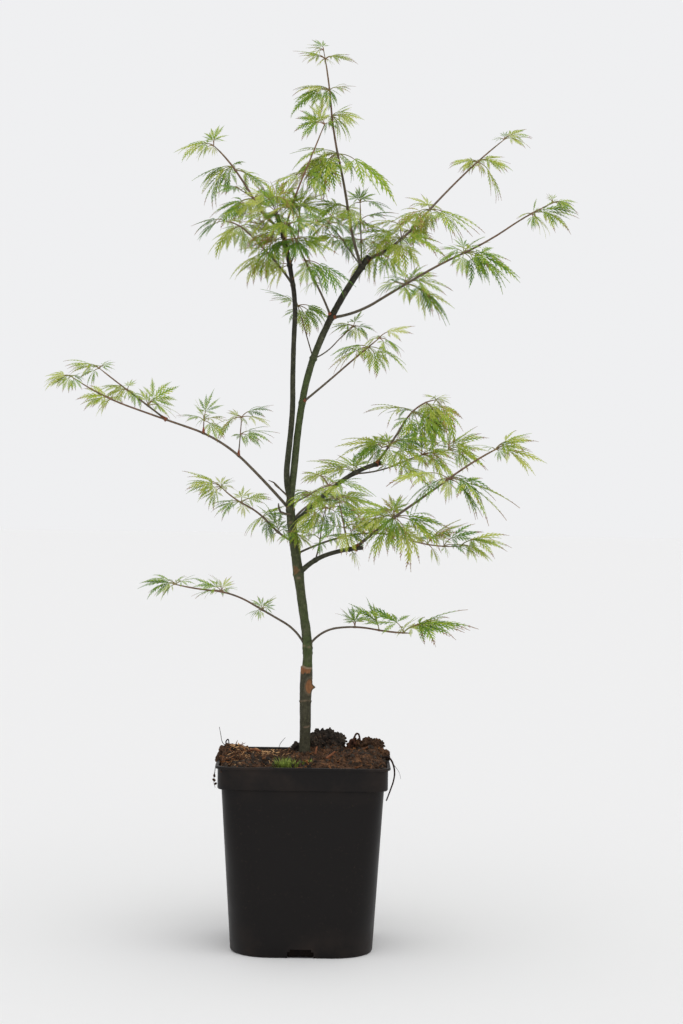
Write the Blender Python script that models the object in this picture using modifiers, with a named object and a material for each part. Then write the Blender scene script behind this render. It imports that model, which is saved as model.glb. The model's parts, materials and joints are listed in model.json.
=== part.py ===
"""A young laceleaf Japanese maple, grafted and double stemmed, in a square black nursery pot.

Metres, +Z up. The origin is the centre of the pot's flat underside, and -Y is the front.
Every limb is worked out from where it leaves its parent, its length, its heading and its rises;
every mass of foliage from where it sits on its limb and its overall size.
"""
import math
from collections import namedtuple

import bmesh
import bpy
from mathutils import Matrix, Vector, noise
from mathutils.bvhtree import BVHTree

MM = 0.001
GAP = 0.3 * MM                 # clearance kept between neighbouring solids

# Pot: a tapered square tub with rounded corners, a collar and a turned-out lip.
POT_HEIGHT = 195 * MM
POT_WALL = 1.2 * MM
BASE_WIDTH = 147 * MM
BASE_CORNER = 43 * MM
BASE_EDGE = 2 * MM             # small bevel round the underside
BODY_WIDTH = 165.5 * MM        # just under the collar
BODY_CORNER = 17 * MM
COLLAR_HEIGHT = 22 * MM
COLLAR_WIDTH = 173 * MM
COLLAR_STEP = 2 * MM
LIP_WIDTH = 178 * MM
LIP_DROP = 2.5 * MM
RIM_CORNER = 14 * MM
CORNER_STEPS = 6               # flats on each rounded corner
SLOT_WIDTH = 27 * MM           # drain slot in the middle of each side's foot
SLOT_HEIGHT = 9 * MM
SLOT_DEPTH = 9 * MM

# Compost: fills the pot, heaped on the left and carrying dark lumps on the right.
COMPOST_EDGE = 189 * MM        # height where it meets the wall
COMPOST_SEAT = 200 * MM        # height at the trunk
SEAT_RADIUS = 14 * MM          # level ground under the trunk
SEAT_WIDTH = 18 * MM           # width of the innermost ring, inside that level ground
COMPOST_RINGS = 7
COMPOST_ROUGHNESS = 2.5 * MM
COMPOST_GRAIN = 70.0
Lump = namedtuple("Lump", "x y height radius")
LUMPS = [
    Lump(-70 * MM, 10 * MM, 12 * MM, 22 * MM),
    Lump(-30 * MM, 35 * MM, 3 * MM, 18 * MM),
    Lump(24 * MM, 26 * MM, 19 * MM, 17 * MM),
    Lump(50 * MM, 30 * MM, 13 * MM, 12 * MM),
    Lump(70 * MM, 10 * MM, 12 * MM, 14 * MM),
    Lump(45 * MM, -40 * MM, 4 * MM, 22 * MM),
]

# Limbs. `at` is the fraction of the parent's length where the limb leaves it, `heading` is the
# compass of its plane (0 is +X, 90 is +Y), `rises` are its slopes from foot to tip in degrees,
# spread evenly along it, and `widths` its diameters in millimetres, spread evenly too.
Limb = namedtuple("Limb", "name parent at length heading rises widths")
LIMBS = [
    Limb("trunk", None, 0.0, 0.261, 180, (92, 89, 94, 81, 82, 81, 84),
         (15.5, 11.3, 12.0, 12.5, 13.2, 10.6, 9.9, 9.7, 9.6, 9.2, 9.0)),
    Limb("leader_right", "trunk", 1.0, 0.286, 24, (83, 85, 80, 67, 59, 53), (7.6, 7.2, 7.0, 6.4)),
    Limb("leader_left", "leader_right", 0.02, 0.302, -143, (68, 97, 96, 89, 91, 93, 78, 75, 64),
         (6.4, 5.6, 5.0, 4.8)),
    Limb("bough_low_left", "trunk", 0.40, 0.172, -160, (72, 29, 29, 5, 14), (2.6, 2.0, 1.6)),
    Limb("bough_low_right", "trunk", 0.42, 0.125, -25, (58, 9, -8, 1), (2.6, 2.0, 1.8)),
    Limb("bough_right_lower", "trunk", 0.72, 0.090, -38, (42, 16, 4), (6.0, 4.6, 4.4)),
    Limb("bough_right_lower_shoot", "bough_right_lower", 0.90, 0.192, -24, (40, 33, 35, 25),
         (3.4, 2.3, 1.7)),
    Limb("bough_right_thin", "trunk", 0.80, 0.196, 22, (26, 11, -17, 4), (2.3, 1.8, 1.3)),
    Limb("bough_right_upper", "trunk", 0.92, 0.128, 29, (39, 41, 30, 12), (5.4, 4.8, 4.8)),
    Limb("bough_right_upper_shoot", "bough_right_upper", 0.95, 0.128, 48, (42, 49, 6),
         (2.8, 2.1, 1.5)),
    Limb("bough_back", "trunk", 0.93, 0.130, 68, (30, 8, -2), (2.8, 2.2, 1.6)),
    Limb("bough_far_left", "trunk", 0.98, 0.276, -162, (47, 43, 17, 18, 34), (3.4, 2.6, 2.0, 1.4)),
    Limb("bough_far_left_upper", "bough_far_left", 0.60, 0.090, 171, (36, 36, 37), (2.0, 1.7, 1.3)),
    Limb("bough_left", "trunk", 0.85, 0.111, 148, (20, 42, 22, 39), (2.6, 2.1, 1.5)),
    Limb("bough_right_middle", "leader_right", 0.38, 0.120, -39, (31, 33, 31), (2.5, 2.0, 1.4)),
    Limb("bough_crossing", "leader_right", 0.72, 0.112, -133, (60, 51, 55, 51), (2.6, 2.0, 1.5)),
    Limb("bough_upper_right_long", "leader_right", 0.72, 0.272, -25, (4, 28, 27, 21, 31, 20),
         (3.2, 2.6, 2.0, 1.4)),
    Limb("bough_upper_right_steep", "leader_right", 0.98, 0.234, 29, (24, 47, 43, 37),
         (3.4, 2.6, 2.0, 1.4)),
    Limb("bough_top", "leader_right", 0.95, 0.230, -138, (62, 78, 72, 83, 74), (3.4, 2.8, 2.1, 1.5)),
    Limb("bough_upper_left", "leader_left", 0.95, 0.151, 134, (23, 51, 46, 35), (3.0, 2.3, 1.6)),
    Limb("bough_upper_pale", "leader_left", 0.92, 0.124, -14, (78, 67, 68), (2.2, 1.8, 1.3)),
    Limb("bough_upper_left_back", "leader_left", 0.75, 0.178, 121, (40, 32, 30, 10),
         (2.8, 2.1, 1.5)),
]
FIRST_BOUGH = 3                # the limbs before it are the trunk and its two leaders
PATH_STEPS = 48                # steps in a limb's computed centre line
LIMB_SECTION = 20 * MM         # spacing of the cross-sections of a limb's solid

# Foliage. `limb` carries the mass at the fraction `at`; `offset` is from there to its centre and
# `size` its overall width, depth and height, all in millimetres; `tilt` lifts its right-hand end
# in degrees. With `tip` set the limb ends where it enters the mass, and otherwise runs through it.
Mass = namedtuple("Mass", "name limb at offset size tilt tip")
FOLIAGE = [
    Mass("low_left", "bough_low_left", 0.90, (2, 0, 2), (93, 66, 25), -4, True),
    Mass("low_right", "bough_low_right", 1.00, (7, 0, 2), (107, 76, 38), -14, True),
    Mass("fork_front", "trunk", 0.88, (19, -27, 4), (58, 58, 47), 0, False),
    Mass("right_middle", "bough_right_upper", 0.57, (-1, -2, 1), (89, 76, 52), 18, False),
    Mass("right_lower_inner", "bough_right_lower_shoot", 0.28, (12, 2, -14), (71, 84, 62), -8, False),
    Mass("right_thin", "bough_right_thin", 1.00, (5, 0, -3), (100, 76, 42), -12, True),
    Mass("right_lower_middle", "bough_right_lower_shoot", 0.62, (8, 0, -10), (129, 76, 45), -12,
         False),
    Mass("right_lower_tip", "bough_right_lower_shoot", 1.00, (9, 0, -2), (46, 56, 40), 12, True),
    Mass("right_upper_inner", "bough_right_upper", 1.00, (12, 0, 10), (104, 78, 44), -8, False),
    Mass("right_upper_tip", "bough_right_upper_shoot", 0.72, (25, 6, -16), (112, 78, 66), -24, True),
    Mass("back", "bough_back", 1.00, (2, 8, -4), (70, 84, 36), 0, True),
    Mass("far_left_tip", "bough_far_left", 0.95, (-3, 0, -9), (74, 66, 42), -8, True),
    Mass("far_left_upper", "bough_far_left_upper", 1.00, (-10, 5, -5), (48, 56, 33), -14, True),
    Mass("far_left_fork", "bough_far_left_upper", 0.38, (7, 0, 8), (72, 62, 40), -10, False),
    Mass("far_left_middle", "bough_far_left", 0.47, (2, 0, 13), (48, 56, 40), -6, False),
    Mass("far_left_inner", "bough_far_left", 0.33, (12, 0, 15), (53, 56, 49), -10, False),
    Mass("left_tip", "bough_left", 1.00, (-11, 0, -7), (56, 66, 42), 10, True),
    Mass("left_inner", "bough_left", 0.60, (-6, 0, -7), (79, 66, 46), 6, False),
    Mass("right_mid", "bough_right_middle", 0.88, (-1, 0, 3), (63, 76, 50), 22, True),
    Mass("upper_right_inner", "bough_upper_right_long", 0.33, (6, 0, -7), (89, 80, 48), -16, False),
    Mass("upper_right_middle", "bough_upper_right_long", 0.62, (11, 0, -14), (77, 76, 54), -18,
         False),
    Mass("upper_right_tip", "bough_upper_right_long", 0.95, (5, 0, -8), (64, 56, 38), 12, True),
    Mass("steep_inner", "bough_upper_right_steep", 0.17, (6, 4, -5), (76, 74, 42), 10, False),
    Mass("steep_middle", "bough_upper_right_steep", 0.42, (14, 0, -12), (106, 84, 48), -12, False),
    Mass("steep_outer", "bough_upper_right_steep", 0.75, (8, 0, -5), (73, 76, 33), -6, False),
    Mass("steep_tip", "bough_upper_right_steep", 1.00, (9, 0, 1), (41, 45, 19), 12, True),
    Mass("top", "bough_top", 1.00, (5, 0, 1), (59, 50, 24), 0, True),
    Mass("top_middle", "bough_top", 0.70, (-6, 0, 0), (82, 76, 66), -8, False),
    Mass("top_lower", "bough_top", 0.42, (-1, 0, 0), (121, 92, 50), -8, False),
    Mass("upper_left_tip", "bough_upper_left", 1.00, (-10, 0, 5), (48, 50, 32), 26, True),
    Mass("upper_left", "bough_upper_left", 0.60, (-13, 0, -8), (81, 76, 46), -4, False),
    Mass("left_back", "bough_upper_left_back", 0.93, (-3, 0, -10), (58, 76, 40), 10, True),
    Mass("crown_middle", "leader_left", 1.00, (17, -12, 0), (86, 108, 62), 0, False),
    Mass("crown_lower", "bough_upper_left_back", 0.23, (-11, 0, -9), (62, 76, 54), 12, False),
    Mass("crossing", "bough_crossing", 0.45, (8, 0, 5), (50, 76, 50), -20, False),
    Mass("top_inner", "bough_top", 0.25, (13, 9, 1), (54, 76, 50), 8, False),
]
LIMBS_ENDING_INSIDE = {"bough_crossing": "crown_middle", "bough_upper_pale": "top_middle"}
UNEVEN = 0.45                  # relief of a mass's surface, as a share of its radius
LEAF_LUMPS = 1.5               # lumps across a mass
DROOP = 0.25                   # how far a mass's rim hangs below its middle

# Colours as linear RGB, with roughness.
Finish = namedtuple("Finish", "colour roughness")
BLACK_PLASTIC = Finish((0.012, 0.010, 0.010), 0.45)
PEAT = Finish((0.050, 0.024, 0.014), 0.95)
ROOTSTOCK_BARK = Finish((0.040, 0.045, 0.028), 0.80)
GREEN_BARK = Finish((0.045, 0.060, 0.022), 0.65)
DARK_BARK = Finish((0.020, 0.014, 0.013), 0.60)
SHOOT_BARK = Finish((0.075, 0.034, 0.028), 0.60)
LEAF_GREEN = Finish((0.19, 0.29, 0.055), 0.65)
LIMB_FINISH = {"trunk": ROOTSTOCK_BARK, "leader_right": GREEN_BARK, "leader_left": DARK_BARK}


def clear_scene():
    for thing in list(bpy.data.objects):
        bpy.data.objects.remove(thing, do_unlink=True)


def new_collection(name):
    group = bpy.data.collections.new(name)
    bpy.context.scene.collection.children.link(group)
    return group


def material(name, finish):
    made = bpy.data.materials.get(name) or bpy.data.materials.new(name)
    made.use_nodes = True
    shader = made.node_tree.nodes["Principled BSDF"]
    shader.inputs["Base Color"].default_value = (*finish.colour, 1.0)
    shader.inputs["Roughness"].default_value = finish.roughness
    return made


def add_object(name, mesh, group, finish=None):
    thing = bpy.data.objects.new(name, mesh)
    group.objects.link(thing)
    if finish:
        mesh.materials.append(material(name, finish))
    return thing


def hide_as_cutter(thing):
    thing.hide_render = True
    thing.display_type = "WIRE"


def cut(thing, cutter):
    boolean = thing.modifiers.new("cut by " + cutter.name, "BOOLEAN")
    boolean.operation = "DIFFERENCE"
    boolean.solver = "EXACT"
    boolean.object = cutter


def boxes_meet(one, other):
    low_one, high_one = bounds(one)
    low_other, high_other = bounds(other)
    return all(low_one[i] < high_other[i] and low_other[i] < high_one[i] for i in range(3))


def bounds(thing):
    corners = [vertex.co for vertex in thing.data.vertices]
    low = [min(corner[i] for corner in corners) for i in range(3)]
    high = [max(corner[i] for corner in corners) for i in range(3)]
    return low, high


# ---- pot and compost ----------------------------------------------------------------------------

def rounded_square(width, corner, height):
    """Points of a square with rounded corners, counter-clockwise seen from above."""
    points = []
    inner = width / 2 - corner
    for quarter in range(4):
        middle = math.radians(45 + 90 * quarter)
        cx = inner * math.copysign(1, math.cos(middle))
        cy = inner * math.copysign(1, math.sin(middle))
        for step in range(CORNER_STEPS + 1):
            angle = math.radians(90 * quarter + 90 * step / CORNER_STEPS)
            points.append(Vector((cx + corner * math.cos(angle), cy + corner * math.sin(angle), height)))
    return points


def loft(shape, rings):
    """Join rings of equal point counts into a skin, and return the rings' vertices."""
    made = [[shape.verts.new(point) for point in ring] for ring in rings]
    for lower, upper in zip(made, made[1:]):
        count = len(lower)
        for i in range(count):
            j = (i + 1) % count
            shape.faces.new((lower[i], lower[j], upper[j], upper[i]))
    return made


def body_section(height):
    """Outer width and corner radius of the pot's wall at a height, below the collar."""
    share = height / (POT_HEIGHT - COLLAR_HEIGHT)
    width = BASE_WIDTH + (BODY_WIDTH - BASE_WIDTH) * share
    corner = BASE_CORNER + (BODY_CORNER - BASE_CORNER) * share
    return width, corner


def build_pot(group, cutters):
    """The tub's outer skin up to the lip, where the skin turns over and its wall lies outside."""
    step_low = POT_HEIGHT - COLLAR_HEIGHT
    step_high = step_low + COLLAR_STEP
    lip_top = POT_HEIGHT - POT_WALL
    lip_width = LIP_WIDTH - 2 * POT_WALL
    rings = [
        rounded_square(BASE_WIDTH - 2 * BASE_EDGE, BASE_CORNER - BASE_EDGE, 0.0),
        rounded_square(*body_section(BASE_EDGE), BASE_EDGE),
        rounded_square(*body_section(step_low / 2), step_low / 2),
        rounded_square(*body_section(step_low), step_low),
        rounded_square(COLLAR_WIDTH, RIM_CORNER, step_high),
        rounded_square(COLLAR_WIDTH, RIM_CORNER, lip_top),
        rounded_square(lip_width, RIM_CORNER, lip_top),
        rounded_square(lip_width, RIM_CORNER, POT_HEIGHT - LIP_DROP),
    ]
    shape = bmesh.new()
    made = loft(shape, rings)
    shape.faces.new(list(reversed(made[0])))
    mesh = bpy.data.meshes.new("pot")
    shape.to_mesh(mesh)
    shape.free()
    pot = add_object("pot", mesh, group, BLACK_PLASTIC)
    wall = pot.modifiers.new("wall", "SOLIDIFY")
    wall.thickness = POT_WALL
    wall.offset = -1.0
    wall.use_even_offset = True
    for side in range(4):
        cut(pot, slot_cutter(side, cutters))
    return pot


def slot_cutter(side, cutters):
    """A block that opens the foot of one side: it starts inside the wall and runs out past it."""
    bpy.ops.mesh.primitive_cube_add(size=1.0)
    block = bpy.context.object
    block.name = f"slot_cutter_{side}"
    for owner in list(block.users_collection):
        owner.objects.unlink(block)
    cutters.objects.link(block)
    out = BASE_WIDTH / 2 - SLOT_DEPTH / 2 + BASE_EDGE
    turn = Matrix.Rotation(math.radians(90 * side), 4, "Z")
    place = turn @ Matrix.Translation((0, -out, 0))
    block.data.transform(place @ Matrix.Diagonal((SLOT_WIDTH, SLOT_DEPTH, 2 * SLOT_HEIGHT, 1)))
    hide_as_cutter(block)
    return block


def compost_height(x, y):
    """Height of the compost's top: level under the trunk, low at the wall, lumpy between."""
    edge = COLLAR_WIDTH / 2
    outward = max(abs(x), abs(y)) / edge
    height = COMPOST_SEAT + (COMPOST_EDGE - COMPOST_SEAT) * outward ** 2
    height += COMPOST_ROUGHNESS * noise.noise(Vector((x, y, 0)) * COMPOST_GRAIN)
    for lump in LUMPS:
        away = math.hypot(x - lump.x, y - lump.y) / lump.radius
        height += lump.height * math.exp(-away ** 2)
    distance = math.hypot(x, y)
    blend = min(max(distance / SEAT_RADIUS - 1.0, 0.0), 1.0)
    return COMPOST_SEAT + (height - COMPOST_SEAT) * blend


def build_compost(group):
    clear = POT_WALL + 2 * GAP
    shelf = POT_HEIGHT - COLLAR_HEIGHT + COLLAR_STEP + clear
    rings = []
    for height in (POT_WALL + GAP, BASE_EDGE + clear, shelf / 2, shelf - COLLAR_STEP - POT_WALL):
        width, corner = body_section(height)
        if height < BASE_EDGE:
            width -= 2 * BASE_EDGE
        rings.append(rounded_square(width - 2 * clear, corner - clear, height))
    width, corner = body_section(shelf - COLLAR_STEP - POT_WALL)
    rings.append(rounded_square(width - 2 * clear, corner - clear, shelf))
    rings.append(rounded_square(COLLAR_WIDTH - 2 * clear, RIM_CORNER - clear, shelf + GAP))
    rim = rounded_square(COLLAR_WIDTH - 2 * clear, RIM_CORNER - clear, 0.0)
    for ring in range(COMPOST_RINGS):
        inward = 1.0 - (1.0 - SEAT_WIDTH / COLLAR_WIDTH) * ring / (COMPOST_RINGS - 1)
        points = [Vector((p.x * inward, p.y * inward, 0)) for p in rim]
        rings.append([Vector((p.x, p.y, compost_height(p.x, p.y))) for p in points])
    shape = bmesh.new()
    made = loft(shape, rings)
    shape.faces.new(list(reversed(made[0])))
    shape.faces.new(made[-1])
    mesh = bpy.data.meshes.new("compost")
    shape.to_mesh(mesh)
    shape.free()
    return add_object("compost", mesh, group, PEAT)


# ---- limbs --------------------------------------------------------------------------------------

def spread(values, share):
    """Value at a share of the way along a tuple whose entries are evenly spread."""
    place = min(max(share, 0.0), 1.0) * (len(values) - 1)
    first = min(int(place), len(values) - 2)
    return values[first] + (values[first + 1] - values[first]) * (place - first)


def centre_line(limb, start):
    """Follow a limb's heading and rises from its start, in equal steps."""
    turn = math.radians(limb.heading)
    step = limb.length / PATH_STEPS
    line = [start.copy()]
    for i in range(PATH_STEPS):
        rise = math.radians(spread(limb.rises, (i + 0.5) / PATH_STEPS))
        flat = math.cos(rise)
        way = Vector((flat * math.cos(turn), flat * math.sin(turn), math.sin(rise)))
        line.append(line[-1] + way * step)
    return line


def point_along(line, share):
    place = min(max(share, 0.0), 1.0) * (len(line) - 1)
    first = min(int(place), len(line) - 2)
    return line[first].lerp(line[first + 1], place - first)


def limb_lines():
    lines = {}
    for limb in LIMBS:
        if limb.parent is None:
            start = Vector((0, 0, COMPOST_SEAT + GAP))
        else:
            start = point_along(lines[limb.parent], limb.at)
        lines[limb.name] = centre_line(limb, start)
    return lines


def tube(name, limb, line, reach, sides, grow, group):
    """A closed tapering tube along a limb's line, up to the share `reach`, grown all round."""
    count = max(4, round(limb.length * reach / LIMB_SECTION)) + 1
    curve = bpy.data.curves.new(name, "CURVE")
    curve.dimensions = "3D"
    curve.bevel_depth = MM
    curve.bevel_resolution = (sides - 4) // 2
    curve.use_fill_caps = True
    spline = curve.splines.new("POLY")
    spline.points.add(count - 1)
    places = [point_along(line, reach * i / (count - 1)) for i in range(count)]
    places[-1] += (places[-1] - places[-2]).normalized() * grow
    for i, place in enumerate(places):
        radius = spread(limb.widths, reach * i / (count - 1)) / 2
        spline.points[i].co = (*place, 1.0)
        spline.points[i].radius = radius + grow / MM
    bent = bpy.data.objects.new(name, curve)
    group.objects.link(bent)
    mesh = bpy.data.meshes.new_from_object(bent.evaluated_get(bpy.context.evaluated_depsgraph_get()))
    bpy.data.objects.remove(bent, do_unlink=True)
    bpy.data.curves.remove(curve)
    shape = bmesh.new()
    shape.from_mesh(mesh)
    bmesh.ops.remove_doubles(shape, verts=shape.verts, dist=0.01 * MM)
    bmesh.ops.recalc_face_normals(shape, faces=shape.faces)
    shape.to_mesh(mesh)
    shape.free()
    mesh.name = name
    mesh.materials.clear()
    solid = bpy.data.objects.new(name, mesh)
    group.objects.link(solid)
    return solid


def sides_of(index):
    """Number of flats round a limb: more on the trunk and its leaders."""
    return 12 if index == 0 else 10 if index < FIRST_BOUGH else 6


def flat_foot(solid):
    """Bring the trunk's lowest ring to one height, so that it stands on a level cut."""
    ground = COMPOST_SEAT + GAP
    for vertex in solid.data.vertices:
        if vertex.co.z < ground + MM:
            vertex.co.z = ground


def entry_share(line, solid):
    """Share of a line's length at which it first enters a solid, a little way in."""
    shape = bmesh.new()
    shape.from_mesh(solid.data)
    tree = BVHTree.FromBMesh(shape)
    shape.free()
    for i, point in enumerate(line):
        nearest, normal, _, _ = tree.find_nearest(point)
        if (point - nearest).dot(normal) < 0:
            return min((i + 1) / PATH_STEPS, 1.0)
    raise ValueError("the limb never enters " + solid.name)


def build_limbs(lines, masses, group, cutters):
    """Each limb stands off the ones before it, and ends at the mass that it enters last."""
    last_mass = {mass.limb: mass.name for mass in FOLIAGE if mass.tip}
    last_mass.update(LIMBS_ENDING_INSIDE)
    solids, guides = {}, {}
    for index, limb in enumerate(LIMBS):
        line = lines[limb.name]
        target = masses.get(last_mass.get(limb.name))
        reach = entry_share(line, target) if target else 1.0
        sides = sides_of(index)
        solid = tube(limb.name, limb, line, reach, sides, 0.0, group)
        guide = tube("cutter_" + limb.name, limb, line, reach, sides, GAP, cutters)
        hide_as_cutter(guide)
        if limb.parent is None:
            flat_foot(solid)
        solid.data.materials.append(material(limb.name, LIMB_FINISH.get(limb.name, SHOOT_BARK)))
        for other in guides.values():
            if boxes_meet(solid, other):
                cut(solid, other)
        if target:
            cut(solid, grown_copy(target, cutters))
        solids[limb.name] = solid
        guides[limb.name] = guide
    return solids, guides


# ---- foliage ------------------------------------------------------------------------------------

def foliage_mesh(name, centre, mass, seed):
    """An uneven, drooping pad of exactly the mass's overall size."""
    shape = bmesh.new()
    bmesh.ops.create_icosphere(shape, subdivisions=2, radius=1.0)
    drift = Vector((seed * 3.7, seed * 1.9, seed * 5.3))
    for vertex in shape.verts:
        lump = 1.0 + UNEVEN * noise.noise(vertex.co * LEAF_LUMPS + drift)
        vertex.co *= lump
        vertex.co.z -= DROOP * (vertex.co.x ** 2 + vertex.co.y ** 2)
    slope = math.tan(math.radians(mass.tilt)) * mass.size[0] / mass.size[2]
    for vertex in shape.verts:
        vertex.co.z += slope * vertex.co.x
    for axis in range(3):
        low = min(vertex.co[axis] for vertex in shape.verts)
        high = max(vertex.co[axis] for vertex in shape.verts)
        for vertex in shape.verts:
            share = (vertex.co[axis] - low) / (high - low) - 0.5
            vertex.co[axis] = centre[axis] + share * mass.size[axis] * MM
    mesh = bpy.data.meshes.new(name)
    shape.to_mesh(mesh)
    shape.free()
    return mesh


def build_masses(lines, group):
    solids = {}
    for seed, mass in enumerate(FOLIAGE):
        centre = point_along(lines[mass.limb], mass.at) + Vector(mass.offset) * MM
        name = "foliage_" + mass.name
        mesh = foliage_mesh(name, centre, mass, seed)
        solids[mass.name] = add_object(name, mesh, group, LEAF_GREEN)
    return solids


def grown_copy(solid, cutters):
    """A mass swollen by the clearance, to cut its neighbours with."""
    name = "cutter_" + solid.name
    if name in bpy.data.objects:
        return bpy.data.objects[name]
    mesh = solid.data.copy()
    shape = bmesh.new()
    shape.from_mesh(mesh)
    shape.normal_update()
    moves = [(vertex, vertex.normal * GAP) for vertex in shape.verts]
    for vertex, move in moves:
        vertex.co += move
    shape.to_mesh(mesh)
    shape.free()
    mesh.materials.clear()
    copy = add_object(name, mesh, cutters)
    hide_as_cutter(copy)
    return copy


def clear_masses(masses, guides, cutters):
    """Cut each mass round the limbs that run through it and away from the masses before it."""
    enders = {mass.limb: mass.name for mass in FOLIAGE if mass.tip}
    enders.update(LIMBS_ENDING_INSIDE)
    done = []
    for name, solid in masses.items():
        for limb_name, guide in guides.items():
            if enders.get(limb_name) != name and boxes_meet(solid, guide):
                cut(solid, guide)
        for other in done:
            if boxes_meet(solid, other):
                cut(solid, grown_copy(other, cutters))
        done.append(solid)


def main():
    clear_scene()
    group = new_collection("potted_japanese_maple")
    cutters = new_collection("cutters")
    build_pot(group, cutters)
    build_compost(group)
    lines = limb_lines()
    masses = build_masses(lines, group)
    _, guides = build_limbs(lines, masses, group, cutters)
    clear_masses(masses, guides, cutters)


main()
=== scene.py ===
"""A young laceleaf Japanese maple in its black nursery pot: bark, leaves, compost and plastic.

Metres, +Z up, in the frame's own place: the origin is the middle of the pot's underside and -Y is
the front. A heading is a compass bearing in degrees (0 is +X, 90 is +Y, away from the front).
"""
import json
import math
import random
from collections import namedtuple

import bmesh
import bpy
import numpy as np
from bpy.props import FloatProperty, FloatVectorProperty, IntProperty, PointerProperty
from mathutils import Matrix, Quaternion, Vector, noise

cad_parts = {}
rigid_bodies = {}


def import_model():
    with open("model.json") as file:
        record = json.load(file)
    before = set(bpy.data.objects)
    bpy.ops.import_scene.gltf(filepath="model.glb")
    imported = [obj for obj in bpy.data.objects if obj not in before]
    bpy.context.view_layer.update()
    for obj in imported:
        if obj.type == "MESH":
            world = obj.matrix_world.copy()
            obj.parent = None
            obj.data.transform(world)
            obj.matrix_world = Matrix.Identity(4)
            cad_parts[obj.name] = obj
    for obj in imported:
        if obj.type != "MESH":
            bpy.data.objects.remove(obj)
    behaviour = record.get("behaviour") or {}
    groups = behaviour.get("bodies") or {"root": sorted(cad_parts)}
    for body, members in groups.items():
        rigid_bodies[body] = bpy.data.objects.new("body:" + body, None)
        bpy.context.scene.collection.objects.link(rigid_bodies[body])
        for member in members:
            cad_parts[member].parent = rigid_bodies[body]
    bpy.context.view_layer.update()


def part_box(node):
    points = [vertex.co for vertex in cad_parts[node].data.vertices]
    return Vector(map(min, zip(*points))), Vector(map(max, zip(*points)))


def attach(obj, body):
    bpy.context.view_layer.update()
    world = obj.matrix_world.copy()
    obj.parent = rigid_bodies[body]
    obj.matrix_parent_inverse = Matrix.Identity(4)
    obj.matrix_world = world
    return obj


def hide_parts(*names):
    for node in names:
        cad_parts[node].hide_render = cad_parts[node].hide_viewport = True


bl_info = {
    "name": "Potted laceleaf maple",
    "version": (1, 0, 0),
    "blender": (4, 5, 0),
    "location": "3D View > Sidebar > Maple",
    "description": "Bark, leaves, compost and pot of a young grafted laceleaf maple",
    "category": "Object",
}

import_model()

MM = 0.001
POT_LOW, POT_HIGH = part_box("pot")
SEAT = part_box("trunk")[0][2]   # height of the compost where the trunk stands

# ---- the plant's plan ---------------------------------------------------------------------------

# Limbs, as the frame holds them. `at` is the share of the parent's length where the limb leaves
# it, `rises` are its slopes from foot to tip in degrees and `widths` its diameters in millimetres,
# both spread evenly along it.
Limb = namedtuple("Limb", "name parent at length heading rises widths")
LIMBS = [
    Limb("trunk", None, 0.0, 0.261, 180, (92, 89, 94, 81, 82, 81, 84),
         (15.5, 11.3, 12.0, 12.5, 13.2, 10.6, 9.9, 9.7, 9.6, 9.2, 9.0)),
    Limb("leader_right", "trunk", 1.0, 0.286, 24, (83, 85, 80, 67, 59, 53), (7.6, 7.2, 7.0, 6.4)),
    Limb("leader_left", "leader_right", 0.02, 0.302, -143, (68, 97, 96, 89, 91, 93, 78, 75, 64),
         (6.4, 5.6, 5.0, 4.8)),
    Limb("bough_low_left", "trunk", 0.40, 0.172, -160, (72, 29, 29, 5, 14), (2.6, 2.0, 1.6)),
    Limb("bough_low_right", "trunk", 0.42, 0.125, -25, (58, 9, -8, 1), (2.6, 2.0, 1.8)),
    Limb("bough_right_lower", "trunk", 0.72, 0.090, -38, (42, 16, 4), (6.0, 4.6, 4.4)),
    Limb("bough_right_lower_shoot", "bough_right_lower", 0.90, 0.192, -24, (40, 33, 35, 25),
         (3.4, 2.3, 1.7)),
    Limb("bough_right_thin", "trunk", 0.80, 0.196, 22, (26, 11, -17, 4), (2.3, 1.8, 1.3)),
    Limb("bough_right_upper", "trunk", 0.92, 0.128, 29, (39, 41, 30, 12), (5.4, 4.8, 4.8)),
    Limb("bough_right_upper_shoot", "bough_right_upper", 0.95, 0.128, 48, (42, 49, 6),
         (2.8, 2.1, 1.5)),
    Limb("bough_back", "trunk", 0.93, 0.130, 68, (30, 8, -2), (2.8, 2.2, 1.6)),
    Limb("bough_far_left", "trunk", 0.98, 0.276, -162, (47, 43, 17, 18, 34), (3.4, 2.6, 2.0, 1.4)),
    Limb("bough_far_left_upper", "bough_far_left", 0.60, 0.090, 171, (36, 36, 37), (2.0, 1.7, 1.3)),
    Limb("bough_left", "trunk", 0.85, 0.111, 148, (20, 42, 22, 39), (2.6, 2.1, 1.5)),
    Limb("bough_right_middle", "leader_right", 0.38, 0.120, -39, (31, 33, 31), (2.5, 2.0, 1.4)),
    Limb("bough_crossing", "leader_right", 0.72, 0.112, -133, (60, 51, 55, 51), (2.6, 2.0, 1.5)),
    Limb("bough_upper_right_long", "leader_right", 0.72, 0.272, -25, (4, 28, 27, 21, 31, 20),
         (3.2, 2.6, 2.0, 1.4)),
    Limb("bough_upper_right_steep", "leader_right", 0.98, 0.234, 29, (24, 47, 43, 37),
         (3.4, 2.6, 2.0, 1.4)),
    Limb("bough_top", "leader_right", 0.95, 0.230, -138, (62, 78, 72, 83, 74),
         (3.4, 2.8, 2.1, 1.5)),
    Limb("bough_upper_left", "leader_left", 0.95, 0.151, 134, (23, 51, 46, 35), (3.0, 2.3, 1.6)),
    Limb("bough_upper_pale", "leader_left", 0.92, 0.124, -14, (78, 67, 68), (2.2, 1.8, 1.3)),
    Limb("bough_upper_left_back", "leader_left", 0.75, 0.178, 121, (40, 32, 30, 10),
         (2.8, 2.1, 1.5)),
]
STEMS = LIMBS[:3]
BOUGHS = LIMBS[3:]
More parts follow.
